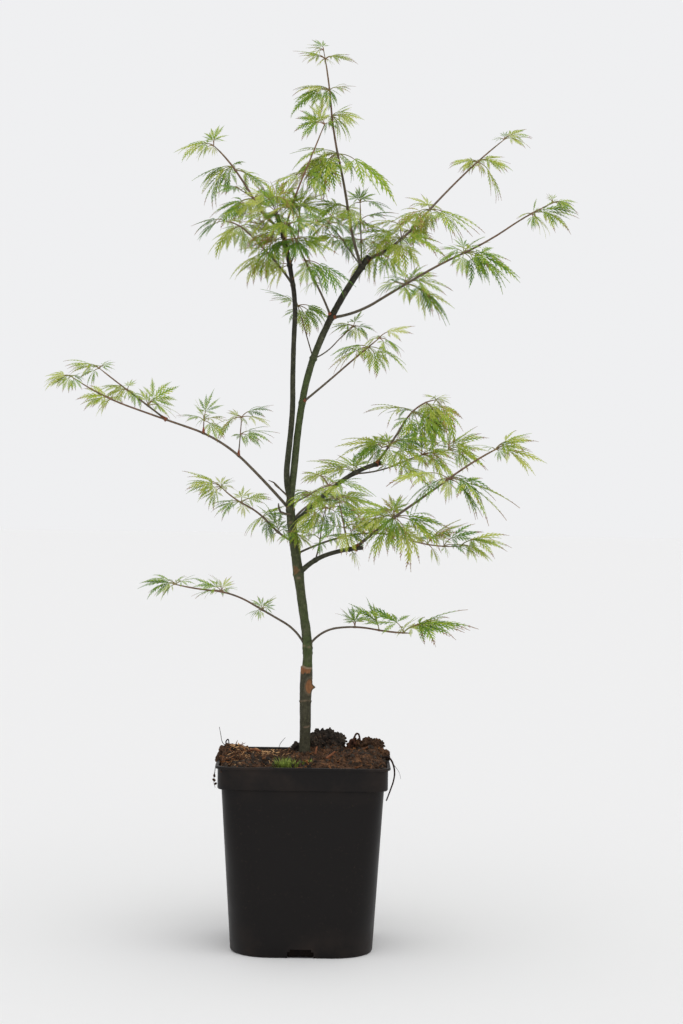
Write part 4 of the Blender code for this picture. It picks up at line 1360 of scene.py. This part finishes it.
def bark_path(limb, spacing, widths=None):
    """Points of a limb's bark: its line, thickened at its foot and at its nodes."""
    line = LINES[limb.name]
    count = max(8, round(limb.length / spacing))
    nodes = nodes_of(limb)
    thin = limb.widths[-1] < 3.0 and limb.name not in CUT_ENDS
    path = []
    for i in range(count + 1):
        share = i / count
        radius = spread(widths or limb.widths, share) / 2 * MM
        if limb.parent:
            radius *= 1.0 + 0.45 * math.exp(-share * limb.length / (2.2 * MM))
        for node in nodes:
            away = (share - node) * limb.length / (1.3 * MM)
            radius += min(0.45 * MM, 0.3 * radius) * math.exp(-away * away)
        if thin:
            radius *= 1.0 - 0.45 * max(0.0, share - 0.9) / 0.1
        path.append((point_along(line, share), radius, share))
    return path


def hump(off, width):
    """A smooth hump: 1 where off is 0, falling away over the width."""
    return np.exp(-(off / width) ** 2)


def shape_trunk(mesh):
    """Graft step, ring scar, pruning wound with its callus rim, and the snag beside it."""
    count = len(mesh.vertices)
    flat = np.empty(count * 3)
    mesh.vertices.foreach_get("co", flat)
    places = flat.reshape(-1, 3)
    along = np.empty(count)
    mesh.attributes["along"].data.foreach_get("value", along)
    line = np.array([tuple(point) for point in LINES["trunk"]])
    steps = np.linspace(0.0, 1.0, len(line))
    middle = np.stack([np.interp(along, steps, line[:, i]) for i in range(3)], axis=1)
    out = places - middle
    radius = np.linalg.norm(out, axis=1) + 1e-9
    turn = np.arctan2(out[:, 1], out[:, 0])

    def past(share):
        """How far each point is above a share of the trunk's length."""
        return (along - share) * TRUNK_REACH

    def spot(share, way, high, wide):
        """A smooth round spot of the given half height and half width."""
        beside = np.angle(np.exp(1j * (turn - way))) * radius / wide
        return np.exp(-((past(share) / high) ** 2 + beside ** 2))

    # The graft: a swelling, a bare ledge on one side and a ridge of callus over it.
    ledge = 0.5 + 0.5 * np.cos(turn - GRAFT_TURN)
    above = past(GRAFT) - 2.2 * MM * (ledge - 0.5) + 0.5 * MM * np.sin(turn * 3)
    swell = np.where(above < 0, hump(above, 6.5 * MM), hump(above, 0.8 * MM))
    grown = swell * (0.2 + 1.5 * ledge ** 2) * MM
    ragged = 0.9 * MM * np.sin(turn * 5 + 1.0) + 0.6 * MM * np.sin(turn * 11)
    wound = (step_up((above + 7.0 * MM * ledge + ragged) / MM)
             * step_up(0.5 - above / MM) * step_up((ledge - 0.30) / 0.2))
    grown -= wound * 0.35 * MM
    rim = hump(above - 0.7 * MM, 0.75 * MM) * step_up((ledge - 0.12) / 0.2)
    grown += rim * 0.5 * MM

    # The ring scar and the low scar.
    band = hump(past(RING_SCAR) + 0.6 * MM * np.sin(turn * 2 + 1.0), 0.8 * MM)
    grown += (0.45 + 0.35 * np.abs(np.cos(turn))) * MM * band
    broken = 0.55 + 0.25 * np.sin(turn * 3 + 0.6) + 0.20 * np.sin(turn * 8 + 2.0)
    rim = np.maximum(rim, 0.55 * band * broken)
    scar = past(LOW_SCAR) + 0.5 * MM * np.sin(turn * 3)
    rim = np.maximum(rim, 0.6 * hump(scar, 0.7 * MM) * step_up((np.cos(turn + 1.25) - 0.72) / 0.2))

    # The pruning wound, its callus rim, and the snag.
    high = past(WOUND) / WOUND_HALF_HEIGHT
    wide = (turn - WOUND_TURN) * radius / WOUND_HALF_WIDTH
    off = np.sqrt(high ** 2 + wide ** 2)
    inside = step_up((1.05 - off) / 0.18)
    wound = np.maximum(wound, inside)
    grown += 0.8 * MM * hump(off - 1.15, 0.20) - 0.35 * MM * inside
    rim = np.maximum(rim, 0.22 * hump(off - 1.15, 0.16))
    grown += 3.4 * MM * spot(SNAG, SNAG_TURN, 1.9 * MM, 2.0 * MM)

    # The knot, the gnarl and the scars of old nodes.
    grown += 0.6 * MM * hump(past(KNOT), 5 * MM)
    gnarl = spot(GNARL, GNARL_TURN, 5.5 * MM, 3.4 * MM)
    lumpy = 0.5 + 0.5 * np.sin(along * TRUNK_REACH / (0.7 * MM)) * np.sin(turn * 6)
    grown += gnarl * (0.2 + 0.7 * lumpy) * MM
    wound = np.maximum(wound, 0.5 * step_up((gnarl * (0.5 + lumpy) - 0.35) / 0.3))
    for share, way in NODE_SCARS:
        mark = spot(share, math.radians(way), 1.1 * MM, 1.9 * MM)
        grown += 0.45 * MM * mark
        rim = np.maximum(rim, 0.5 * mark)
    places += out / radius[:, None] * grown[:, None]
    mesh.vertices.foreach_set("co", places.ravel())
    for label, values in (("rim", rim), ("wound", wound)):
        mesh.attributes.new(label, "FLOAT", "POINT").data.foreach_set("value", values)


def bark(name, settings, gloss, *stops):
    """Bark whose colour runs along the limb, with streaks, pale lenticels and wounds."""
    skin = Finish(name, stops[0][1], gloss, 0.22)
    ramp = skin.node("ShaderNodeValToRGB", {"Fac": skin.attribute("along")})["Color"]
    elements = ramp.node.color_ramp.elements
    while len(elements) < len(stops):
        elements.new(0.5)
    for element, (place, tone) in zip(elements, stops):
        element.position = place
        element.color = (*tone, 1.0)
    streak = skin.noise(420.0, 4.0, 0.65, vector=skin.stretched((1.0, 1.0, 0.22)))
    patch = skin.noise(120.0, 5.0, 0.65)
    dark = tuple(channel * 0.42 for channel in stops[0][1])
    toned = skin.mix(skin.remap(streak, 0.50, 0.72, 0.0, 0.75), ramp, dark)
    mottle = skin.noise(310.0, 5.0, 0.75)
    toned = skin.mix(skin.remap(mottle, 0.47, 0.62, 0.0, 0.6), toned, dark)
    grey = skin.mix(skin.remap(patch, 0.50, 0.70, 0.0, 0.5), toned, (0.115, 0.110, 0.070))
    pores = skin.node("ShaderNodeTexVoronoi", {"Vector": skin.stretched((1.0, 1.0, 1.6)),
                                               "Scale": 330.0})["Distance"]
    speck = skin.maths("MULTIPLY", skin.remap(pores, 0.16, 0.08), skin.remap(patch, 0.40, 0.60))
    speckled = skin.mix(skin.maths("MULTIPLY", speck, 0.8), grey, (0.19, 0.17, 0.12))
    flecked = skin.mix(skin.remap(mottle, 0.42, 0.34, 0.0, 0.45), speckled, (0.150, 0.160, 0.085))
    healed = skin.mix(skin.remap(streak, 0.35, 0.65), settings.wound, (0.27, 0.125, 0.052))
    worn = skin.mix(skin.attribute("wound"), flecked, healed)
    skin.set("Base Color", skin.mix(skin.attribute("rim"), worn, (0.33, 0.23, 0.15)))
    skin.set("Roughness", skin.remap(streak, 0.3, 0.7, gloss - 0.08, gloss + 0.18))
    skin.bump(skin.maths("ADD", streak, skin.maths("MULTIPLY", speck, 0.6)), 0.7 * MM, 0.9)
    return skin.material


def paint_bark(name, settings):
    """The bark a limb wears, by its name, with its colours at shares of the limb's length."""
    root = settings.rootstock
    scion = settings.scion
    dark = settings.dark
    shoot = settings.shoot
    if name == "trunk":
        return bark("bark_trunk", settings, 0.62, (0.0, root), (GRAFT - 0.012, root),
                    (GRAFT + 0.012, scion), (0.62, (0.062, 0.078, 0.028)),
                    (1.0, (0.066, 0.072, 0.036)))
    if name == "leader_right":
        return bark("bark_leader_right", settings, 0.5, (0.0, (0.058, 0.070, 0.028)),
                    (0.45, scion), (0.70, (0.026, 0.022, 0.016)), (1.0, dark))
    if name == "leader_left":
        return bark("bark_leader_left", settings, 0.5, (0.0, (0.040, 0.046, 0.022)),
                    (0.5, (0.034, 0.034, 0.020)), (0.78, (0.020, 0.013, 0.013)), (1.0, dark))
    if name in CUT_ENDS:
        return bark("bark_stub", settings, 0.55, (0.0, (0.048, 0.056, 0.028)),
                    (0.55, (0.034, 0.032, 0.020)), (1.0, (0.022, 0.014, 0.012)))
    if name == "bough_upper_pale":
        return bark("bark_pale", settings, 0.5, (0.0, shoot), (0.35, settings.pale),
                    (1.0, (0.26, 0.17, 0.09)))
    if "bark_shoot" in bpy.data.materials:
        return bpy.data.materials["bark_shoot"]
    return bark("bark_shoot", settings, 0.5, (0.0, (0.094, 0.080, 0.058)),
                (0.40, (0.168, 0.124, 0.088)), (0.75, shoot), (1.0, (0.29, 0.20, 0.105)))


class MAPLE_OT_trunk(bpy.types.Operator):
    """Grow the grafted trunk with its scars, and the two leaders that fork from it"""
    bl_idname = "maple.trunk"
    bl_label = "Trunk and leaders"

    def execute(self, context):
        settings = context.scene.maple_bark
        tubes = Tubes()
        for limb in STEMS:
            trunk = limb.parent is None
            path = bark_path(limb, 1.0 * MM, TRUNK_WIDTHS if trunk else None)
            piece = tubes.lay(limb.name + "_bark", [path], paint_bark(limb.name, settings), 44,
                              settings.relief * (3.0 if trunk else 1.6), 420.0, (1, 1, 0.22),
                              shape_trunk if trunk else None)
            hand_over(piece, "trunk_bark" if trunk else "leader_bark", limb.name)
        return {"FINISHED"}


# Young shoots with a ring of old bud scales at the foot, its length, and its rings.
COLLARED = ("bough_far_left_upper", "bough_right_upper_shoot", "bough_right_lower_shoot",
            "twig_right_flat", "bough_upper_right_steep", "bough_crossing", "bough_right_middle",
            "bough_upper_right_long", "spur_far_left_outer", "spur_far_left_inner")
COLLAR = 7 * MM
COLLAR_STEPS = 10
# A dry twig and a dead bud at the fork: points in millimetres, each with its radius.
DRY_BITS = ((((-19, -2, 467), 1.1), ((-28.5, -3, 476), 0.9), ((-33.7, -4, 480.7), 1.3),
             ((-35.8, -4, 483.2), 0.7), ((-41.5, -5, 485.6), 0.4)),
            (((-17, -3, 450), 1.5), ((-23.5, -5, 450.5), 1.4), ((-28.5, -6, 452.5), 1.3),
             ((-30.3, -7, 457), 1.2), ((-30.6, -7, 461.5), 0.6)))


class MAPLE_OT_boughs(bpy.types.Operator):
    """Grow every bough on from its parent, the thin twigs, and the collars of bud scales"""
    bl_idname = "maple.boughs"
    bl_label = "Boughs and twigs"

    def execute(self, context):
        settings = context.scene.maple_bark
        tubes = Tubes()
        for limb in BOUGHS:
            piece = tubes.lay(limb.name + "_bark", [bark_path(limb, 1.5 * MM)],
                              paint_bark(limb.name, settings), 12, settings.relief * 0.7)
            hand_over(piece, "shoot_bark", limb.name)
        shoot = bpy.data.materials["bark_shoot"]
        twigs = [bark_path(limb, 1.8 * MM) for limb in TWIGS]
        collars = [self.collar(limb) for limb in LIMBS + TWIGS if limb.name in COLLARED]
        scales = woody("bud_scales", (0.33, 0.098, 0.056), (0.17, 0.070, 0.036))
        dry = [[(Vector(point) * MM, radius * MM, 0.2) for point, radius in bit]
               for bit in DRY_BITS]
        for name, paths, *skin in (
                ("twigs", twigs, shoot, 9, settings.relief * 0.5),
                ("collars", collars, scales, 12, 0.2 * MM, 600.0, (1, 1, 1)),
                ("dry_twig", dry, shoot, 8, 0.2 * MM)):
            hand_over(tubes.lay(name, paths, *skin), "shoot_bark")
        return {"FINISHED"}

    def collar(self, limb):
        """The path of the rings of old bud scales round a young shoot's foot."""
        path = []
        for i in range(COLLAR_STEPS + 1):
            far = COLLAR * i / COLLAR_STEPS
            share = far / limb.length
            full = spread(limb.widths, share) / 2 * MM * (1 + 0.9 * math.exp(-far / (2.4 * MM)))
            ring = 0.30 * MM * math.cos(math.pi * i) * (i < COLLAR_STEPS)
            fade = 0.65 * MM * math.cos(0.5 * math.pi * i / COLLAR_STEPS)
            path.append((point_along(LINES[limb.name], share), full + fade + ring, share))
        return path


# ---- leaves -------------------------------------------------------------------------------------

STALK_STEPS = 5
SHOOT_STEPS = 5
SHOOT_LEAVES = (0, 68, -68)    # degrees that a side shoot's leaves stand off its own heading
LOBE_STEPS = 20                # steps in a lobe's computed midrib
# Lobes of a leaf: degrees off its middle line, and length as a share of the middle lobe.
LOBES = ((0, 1.0), (27, 0.95), (-27, 0.95), (55, 0.84), (-55, 0.84), (86, 0.60), (-86, 0.60))
# Pointed side lobules of a lobe: foot and reach in lobe lengths, from the lobe's foot to its tip.
LOBULES = ((0.12, 0.14), (0.23, 0.20), (0.35, 0.23), (0.48, 0.21), (0.60, 0.16), (0.71, 0.11),
           (0.81, 0.07))
STAGGER = 0.06                 # how much further along one edge's lobules stand
TOOTHED = 0.17                 # lobules longer than this carry a tooth on each edge
RIB_STATIONS = 9
ENDS_FROM = 0.81               # beyond this share of a lobe lie the ends that redden
STALK_FOOT = 0.60              # radii in millimetres: a stalk's foot, and just past it
STALK_RADIUS = 0.55
SHOOT_RADIUS = 0.75            # the foot of a side shoot
SHORTEST_STALK = 4 * MM
# A short lobe is slimmer for its length: its width is SLIM_SHARE of the pattern's, and more by its
# own length over SLIM_LENGTH, but never more than the whole.
SLIM_SHARE = 0.56
SLIM_LENGTH = 64 * MM
STEEPEST_STALK = 1.45          # radians above level
# How far leaves stray by luck: degrees, or least and greatest shares of the usual value.
LEAF_STRAY = 6
LEAN_STRAY = 8
SIZE_STRAY = (0.92, 1.08)
STALK_STRAY = (0.8, 1.25)
LOBE_STRAY = 4
DROOP_STRAY = (0.45, 1.6)
LOBE_LENGTH_STRAY = (0.88, 1.06)


def rib_width(share):
    """Half width of the blade along a lobe's midrib, in lobe lengths."""
    body = 0.015 * math.sin(math.pi * min(share / 0.95, 1.0)) ** 1.2
    return (0.006 + body) * (1.0 - share ** 8) + 0.0012


def lobe_pattern():
    """One cut lobe in lobe lengths: points (along, sideways, up) and faces.

    A folded midrib strip, bare at its foot, carries narrow pointed lobules that lean forward,
    longest below its middle, and it ends in a long thin point.
    """
    points = []
    faces = []
    for i in range(RIB_STATIONS):
        share = i / (RIB_STATIONS - 1)
        wide = rib_width(share)
        points += [(share, wide, 0.004), (share, 0.0, -0.004), (share, -wide, 0.004)]
    for i in range(RIB_STATIONS - 1):
        a = 3 * i
        faces += [(a + 1, a + 4, a + 3, a), (a + 2, a + 5, a + 4, a + 1)]
    for side in (1, -1):
        for foot, reach in LOBULES:
            foot += STAGGER if side < 0 else 0.0
            add_lobule(points, faces, side, foot, reach)
    return np.array(points), faces


def add_lobule(points, faces, side, foot, reach):
    """One narrow pointed lobule, with a tooth on each edge if it is a long one."""
    lean = math.radians(36 - 18 * foot)
    wide = rib_width(foot) * 0.6
    broad = 0.007 + 0.050 * reach

    def spot(forward, outward, up):
        along = foot + forward * math.cos(lean) - outward * math.sin(lean)
        off = wide + forward * math.sin(lean) + outward * math.cos(lean)
        return (min(along, 0.995), side * off, up)

    def add(*corners):
        faces.append(corners if side > 0 else corners[::-1])

    first = len(points)
    belly = 0.42 * reach
    points.extend((spot(-0.5 * broad, -1.2 * broad, 0.0), spot(belly, -broad, 0.014),
                   spot(reach, 0.0, -0.08 * reach), spot(belly, broad, 0.014),
                   spot(0.5 * broad, 1.2 * broad, 0.0)))
    add(first, first + 1, first + 3, first + 4)
    add(first + 1, first + 2, first + 3)
    if reach < TOOTHED:
        return
    for edge in (-1, 1):
        tooth = len(points)
        points.extend((spot(0.40 * reach, edge * 0.6 * broad, 0.008),
                       spot(0.62 * reach, edge * 0.5 * broad, 0.006),
                       spot(0.80 * reach, edge * 2.4 * broad, 0.004)))
        add(*((tooth, tooth + 2, tooth + 1) if edge < 0 else (tooth, tooth + 1, tooth + 2)))


def lobule_of_face(faces):
    """For each face of the pattern, the number of its lobule; the midrib counts as two more."""
    rib = 3 * RIB_STATIONS
    groups = []
    group = 1
    for face in faces:
        low = min(face)
        if low < rib:
            groups.append(0 if low < rib // 2 else 1)
            continue
        group += 1 if len(face) == 4 else 0
        groups.append(group)
    return np.array(groups)


def leaf_lobes(place, heading, lift, size, lean, droop, draw):
    """Rows for the lobes of one leaf: start, turn, rise, droop, length, bend and upper side."""
    ahead = direction(heading, lift)
    level = Vector((-math.sin(heading), math.cos(heading), 0))
    side = Quaternion(ahead, math.copysign(lean, lean * math.cos(heading))) @ level
    face = ahead.cross(side)
    rows = []
    droop *= 1.0 - 0.65 * max(math.sin(lift), 0.0)
    for turn, share in LOBES:
        off = math.radians(turn + draw.gauss(0, LOBE_STRAY))
        way = ahead * math.cos(off) + side * math.sin(off) + face * draw.gauss(-0.06, 0.12)
        way.normalize()
        upper = face + Vector((draw.gauss(0, 0.2), draw.gauss(0, 0.2), draw.gauss(0, 0.2)))
        rows.append((*place, math.atan2(way.y, way.x), math.asin(way.z),
                     droop * draw.uniform(*DROOP_STRAY),
                     size * share * draw.uniform(*LOBE_LENGTH_STRAY),
                     -0.2 * math.sin(off) + draw.gauss(0, 0.10), *upper.normalized()))
    return rows


def grow_lobes(rows, pattern):
    """Lay the pattern along each lobe's drooping midrib; returns points, one set for each row."""
    rows = np.array(rows)
    share = (np.arange(LOBE_STEPS) + 0.5) / LOBE_STEPS
    turn = rows[:, 3, None] + rows[:, 7, None] * share
    rise = rows[:, 4, None] - rows[:, 5, None] * share ** 1.2
    way = np.stack((np.cos(rise) * np.cos(turn), np.cos(rise) * np.sin(turn), np.sin(rise)), -1)
    step = way * (rows[:, 6] / LOBE_STEPS)[:, None, None]
    line = np.concatenate((np.zeros((len(rows), 1, 3)), np.cumsum(step, axis=1)), axis=1)
    line += rows[:, None, 0:3]
    side = np.cross(rows[:, None, 8:11], way)
    side /= np.maximum(np.linalg.norm(side, axis=2, keepdims=True), 0.05)
    up = np.cross(way, side)
    spot = pattern[:, 0] * LOBE_STEPS
    before = np.minimum(spot.astype(int), LOBE_STEPS - 1)
    part = (spot - before)[None, :, None]
    middle = line[:, before] * (1 - part) + line[:, before + 1] * part
    long = rows[:, 6, None, None]
    broad = long * np.clip(SLIM_SHARE + long / SLIM_LENGTH, 0.55, 1.0)
    return (middle + side[:, before] * pattern[None, :, 1, None] * broad
            + up[:, before] * pattern[None, :, 2, None] * long)


def leaf_material(name, tone):
    """One plain tint with fine veins in its relief."""
    blade = Finish("leaf_" + name, tone, 0.65, 0.06)
    blade.bump(blade.noise(700.0, 2.0, 0.5), 0.15 * MM, 0.5)
    return blade.material


class MAPLE_OT_leaves(bpy.types.Operator):
    """Grow sprays of cut leaves on their stalks, and deal out their tints"""
    bl_idname = "maple.leaves"
    bl_label = "Leaves"

    def execute(self, context):
        settings = context.scene.maple_leaf
        draw = random.Random(settings.seed)
        pattern, faces = lobe_pattern()
        reach = np.array([pattern[list(face), 0].mean() for face in faces])
        parts = (reach > ENDS_FROM, lobule_of_face(faces))
        materials = [leaf_material(name, getattr(settings, name)) for name in TINTS]
        self.stalks = []
        self.shoots = []
        rows = {name: [] for name in LEAF_PIECES}
        tints = {name: [] for name in LEAF_PIECES}
        for limb, sprays in SPRAYS.items():
            piece = self.piece_of(limb)
            for spray in sprays:
                for start, leaf in self.placed(limb, spray, draw):
                    lobes = self.grow_leaf(start, leaf, settings, draw)
                    tint = draw.choices(range(6), DEALS[spray.kind])[0]
                    tipped = draw.random() < TIPPED_SHARE[spray.kind]
                    rows[piece] += lobes
                    tints[piece] += [(tint, tipped)] * len(lobes)
        for name in LEAF_PIECES:
            self.add_piece(name, rows[name], tints[name], pattern, faces, parts, materials)
        tubes = Tubes()
        piece = tubes.lay("petioles", self.stalks, self.stalk_skin(), 5, 0.0, 100.0, (1, 1, 1))
        hand_over(piece, "shoot_bark")
        piece = tubes.lay("side_shoots", self.shoots, bpy.data.materials["bark_shoot"], 6,
                          0.1 * MM)
        hand_over(piece, "shoot_bark")
        return {"FINISHED"}

    def piece_of(self, limb):
        """The piece that a limb's leaves are joined in: the one with the longest match."""
        return max((len(start), name) for name, starts in LEAF_PIECES.items() for start in starts
                   if limb.startswith(start))[1]

    def placed(self, limb, spray, draw):
        """Where each leaf of a spray starts: at the spray's node, or on a side shoot from it."""
        node = point_along(LINES[limb], spray.at)
        for leaf in spray.leaves:
            yield node, leaf
        usual = sum(leaf[2] for leaf in spray.leaves) / len(spray.leaves)
        first = draw.choice((-90, 90))
        for i in range(spray.shoots):
            heading = first + 360 * i / max(spray.shoots, 2) + draw.gauss(0, 25)
            rise = draw.uniform(-8, 36)
            reach = draw.uniform(0.35, 0.75) * usual * MM
            path = [(node, SHOOT_RADIUS * MM, 0.6)]
            for j in range(1, SHOOT_STEPS + 1):
                share = j / SHOOT_STEPS
                way = direction(math.radians(heading), math.radians(rise * (1.3 - 0.6 * share)))
                path.append((path[-1][0] + way * (reach / SHOOT_STEPS),
                             (SHOOT_RADIUS - 0.25 * share) * MM, 0.6 + 0.4 * share))
            self.shoots.append(path)
            for turn in SHOOT_LEAVES:
                lift = draw.uniform(-18, 16)
                yield path[-1][0], (heading + turn, lift, usual * draw.uniform(0.6, 0.9))

    def grow_leaf(self, start, leaf, settings, draw):
        """A leaf's stalk, kept for later, and the rows of its lobes."""
        heading, lift, size, *lean = leaf
        lean = math.radians(lean[0] + draw.gauss(0, LEAN_STRAY)) if lean else draw.gauss(0, 0.5)
        turn = math.radians(heading + draw.gauss(0, LEAF_STRAY))
        rise = math.radians(lift + draw.gauss(0, LEAF_STRAY))
        size = size * MM * settings.size * draw.uniform(*SIZE_STRAY)
        stalk = max(SHORTEST_STALK, settings.petiole * size * draw.uniform(*STALK_STRAY))
        path = [(start, STALK_FOOT * MM, 0.0)]
        for i in range(1, STALK_STEPS + 1):
            share = i / STALK_STEPS
            tilt = min(rise + 0.7 * (1.0 - share), STEEPEST_STALK)
            path.append((path[-1][0] + direction(turn, tilt) * (stalk / STALK_STEPS),
                         (STALK_RADIUS - 0.14 * share) * MM, share))
        self.stalks.append(path)
        return leaf_lobes(path[-1][0], turn, rise, size, lean, settings.droop, draw)

    def add_piece(self, name, rows, tints, pattern, faces, parts, materials):
        """Join the lobes of one piece's leaves, lobule by lobule in their tints."""
        ends, groups = parts
        luck = np.random.default_rng(len(rows))
        points = grow_lobes(rows, pattern)
        count = len(pattern)
        corners = points.reshape(-1, 3)
        everything = []
        numbers = []
        for i, (tint, tipped) in enumerate(tints):
            shift = i * count
            everything += [tuple(corner + shift for corner in face) for face in faces]
            # A few lobules take a darker tint as painted shade, and a few a lighter one as painted
            # highlight.
            throw = luck.random(groups.max() + 1)[groups]
            shade = np.where(throw < DARKER_SHARE, DARKER[tint],
                             np.where(throw > 1.0 - LIGHTER_SHARE, LIGHTER[tint], tint))
            numbers.append(np.where(ends & tipped, len(TINTS) - 1, shade))
        mesh = bpy.data.meshes.new(name)
        mesh.from_pydata(corners.tolist(), [], everything)
        for material in materials:
            mesh.materials.append(material)
        mesh.polygons.foreach_set("material_index", np.concatenate(numbers).astype(np.int32))
        piece = add_object(name, mesh)
        hand_over(piece, "foliage", *("foliage_" + mass for mass in MASSES[name]))

    def stalk_skin(self):
        """Reddish stalks, green in places."""
        skin = Finish("petiole", (0.22, 0.12, 0.05), 0.5, 0.35)
        patch = skin.noise(60.0, 2.0)
        skin.set("Base Color", skin.mix(skin.remap(patch, 0.4, 0.6), (0.21, 0.12, 0.055),
                                        (0.25, 0.27, 0.07)))
        return skin.material


# ---- stage --------------------------------------------------------------------------------------

class MAPLE_OT_stage(bpy.types.Operator):
    """Lay the pale floor, hang the soft light and set up the camera"""
    bl_idname = "maple.stage"
    bl_label = "Stage"

    def execute(self, context):
        settings = context.scene.maple_stage
        bpy.ops.mesh.primitive_circle_add(vertices=96, radius=settings.floor_radius,
                                          fill_type="NGON")
        floor = context.object
        floor.name = "floor"
        pale = Finish("pale_floor", settings.floor, 0.9, 0.1)
        floor.data.materials.append(pale.material)
        self.light(context, settings)
        camera = bpy.data.cameras.new("camera")
        camera.sensor_width = 36.0
        camera.lens = settings.lens
        camera.clip_end = 200.0
        holder = add_object("camera", camera)
        holder.location = settings.camera_place
        holder.rotation_euler = (math.radians(90), settings.camera_roll, 0)
        context.scene.camera = holder
        return {"FINISHED"}

    def light(self, context, settings):
        sun = bpy.data.lights.new("overhead", "SUN")
        sun.energy = settings.key
        sun.angle = math.radians(70)
        lamp = add_object("overhead", sun)
        lamp.rotation_euler = (math.radians(24), math.radians(10), 0)
        world = bpy.data.worlds.new("pale")
        context.scene.world = world
        world.use_nodes = True
        tree = world.node_tree
        back = tree.nodes["Background"]
        back.inputs["Color"].default_value = (1.0, 1.0, 1.0, 1.0)
        back.inputs["Strength"].default_value = settings.fill
        seen = tree.nodes.new("ShaderNodeBackground")
        seen.inputs["Color"].default_value = (*settings.sky, 1.0)
        which = tree.nodes.new("ShaderNodeMixShader")
        path = tree.nodes.new("ShaderNodeLightPath")
        tree.links.new(path.outputs["Is Camera Ray"], which.inputs["Fac"])
        tree.links.new(back.outputs[0], which.inputs[1])
        tree.links.new(seen.outputs[0], which.inputs[2])
        tree.links.new(which.outputs[0], tree.nodes["World Output"].inputs["Surface"])
        context.scene.view_settings.view_transform = "Standard"


# ---- add-on -------------------------------------------------------------------------------------

STEPS = (MAPLE_OT_stage, MAPLE_OT_pot, MAPLE_OT_compost, MAPLE_OT_litter, MAPLE_OT_moss,
         MAPLE_OT_trunk, MAPLE_OT_boughs, MAPLE_OT_leaves)
GROUPS = {"maple_pot": PotSettings, "maple_compost": CompostSettings, "maple_bark": BarkSettings,
          "maple_leaf": LeafSettings, "maple_stage": StageSettings}


class MAPLE_PT_panel(bpy.types.Panel):
    """The maple's pieces and settings"""
    bl_idname = "MAPLE_PT_panel"
    bl_label = "Potted maple"
    bl_space_type = "VIEW_3D"
    bl_region_type = "UI"
    bl_category = "Maple"

    def draw(self, context):
        for step in STEPS:
            self.layout.operator(step.bl_idname)
        for name, group in GROUPS.items():
            box = self.layout.box()
            settings = getattr(context.scene, name)
            for label in group.__annotations__:
                box.prop(settings, label)


CLASSES = (*GROUPS.values(), *STEPS, MAPLE_PT_panel)


def register():
    for kind in CLASSES:
        bpy.utils.register_class(kind)
    for name, group in GROUPS.items():
        setattr(bpy.types.Scene, name, PointerProperty(type=group))


def unregister():
    for name in GROUPS:
        delattr(bpy.types.Scene, name)
    for kind in reversed(CLASSES):
        bpy.utils.unregister_class(kind)


def main():
    register()
    bpy.ops.maple.stage()
    bpy.ops.maple.pot()
    bpy.ops.maple.compost()
    bpy.ops.maple.litter()
    bpy.ops.maple.moss()
    bpy.ops.maple.trunk()
    bpy.ops.maple.boughs()
    bpy.ops.maple.leaves()


if __name__ == "__main__":
    main()
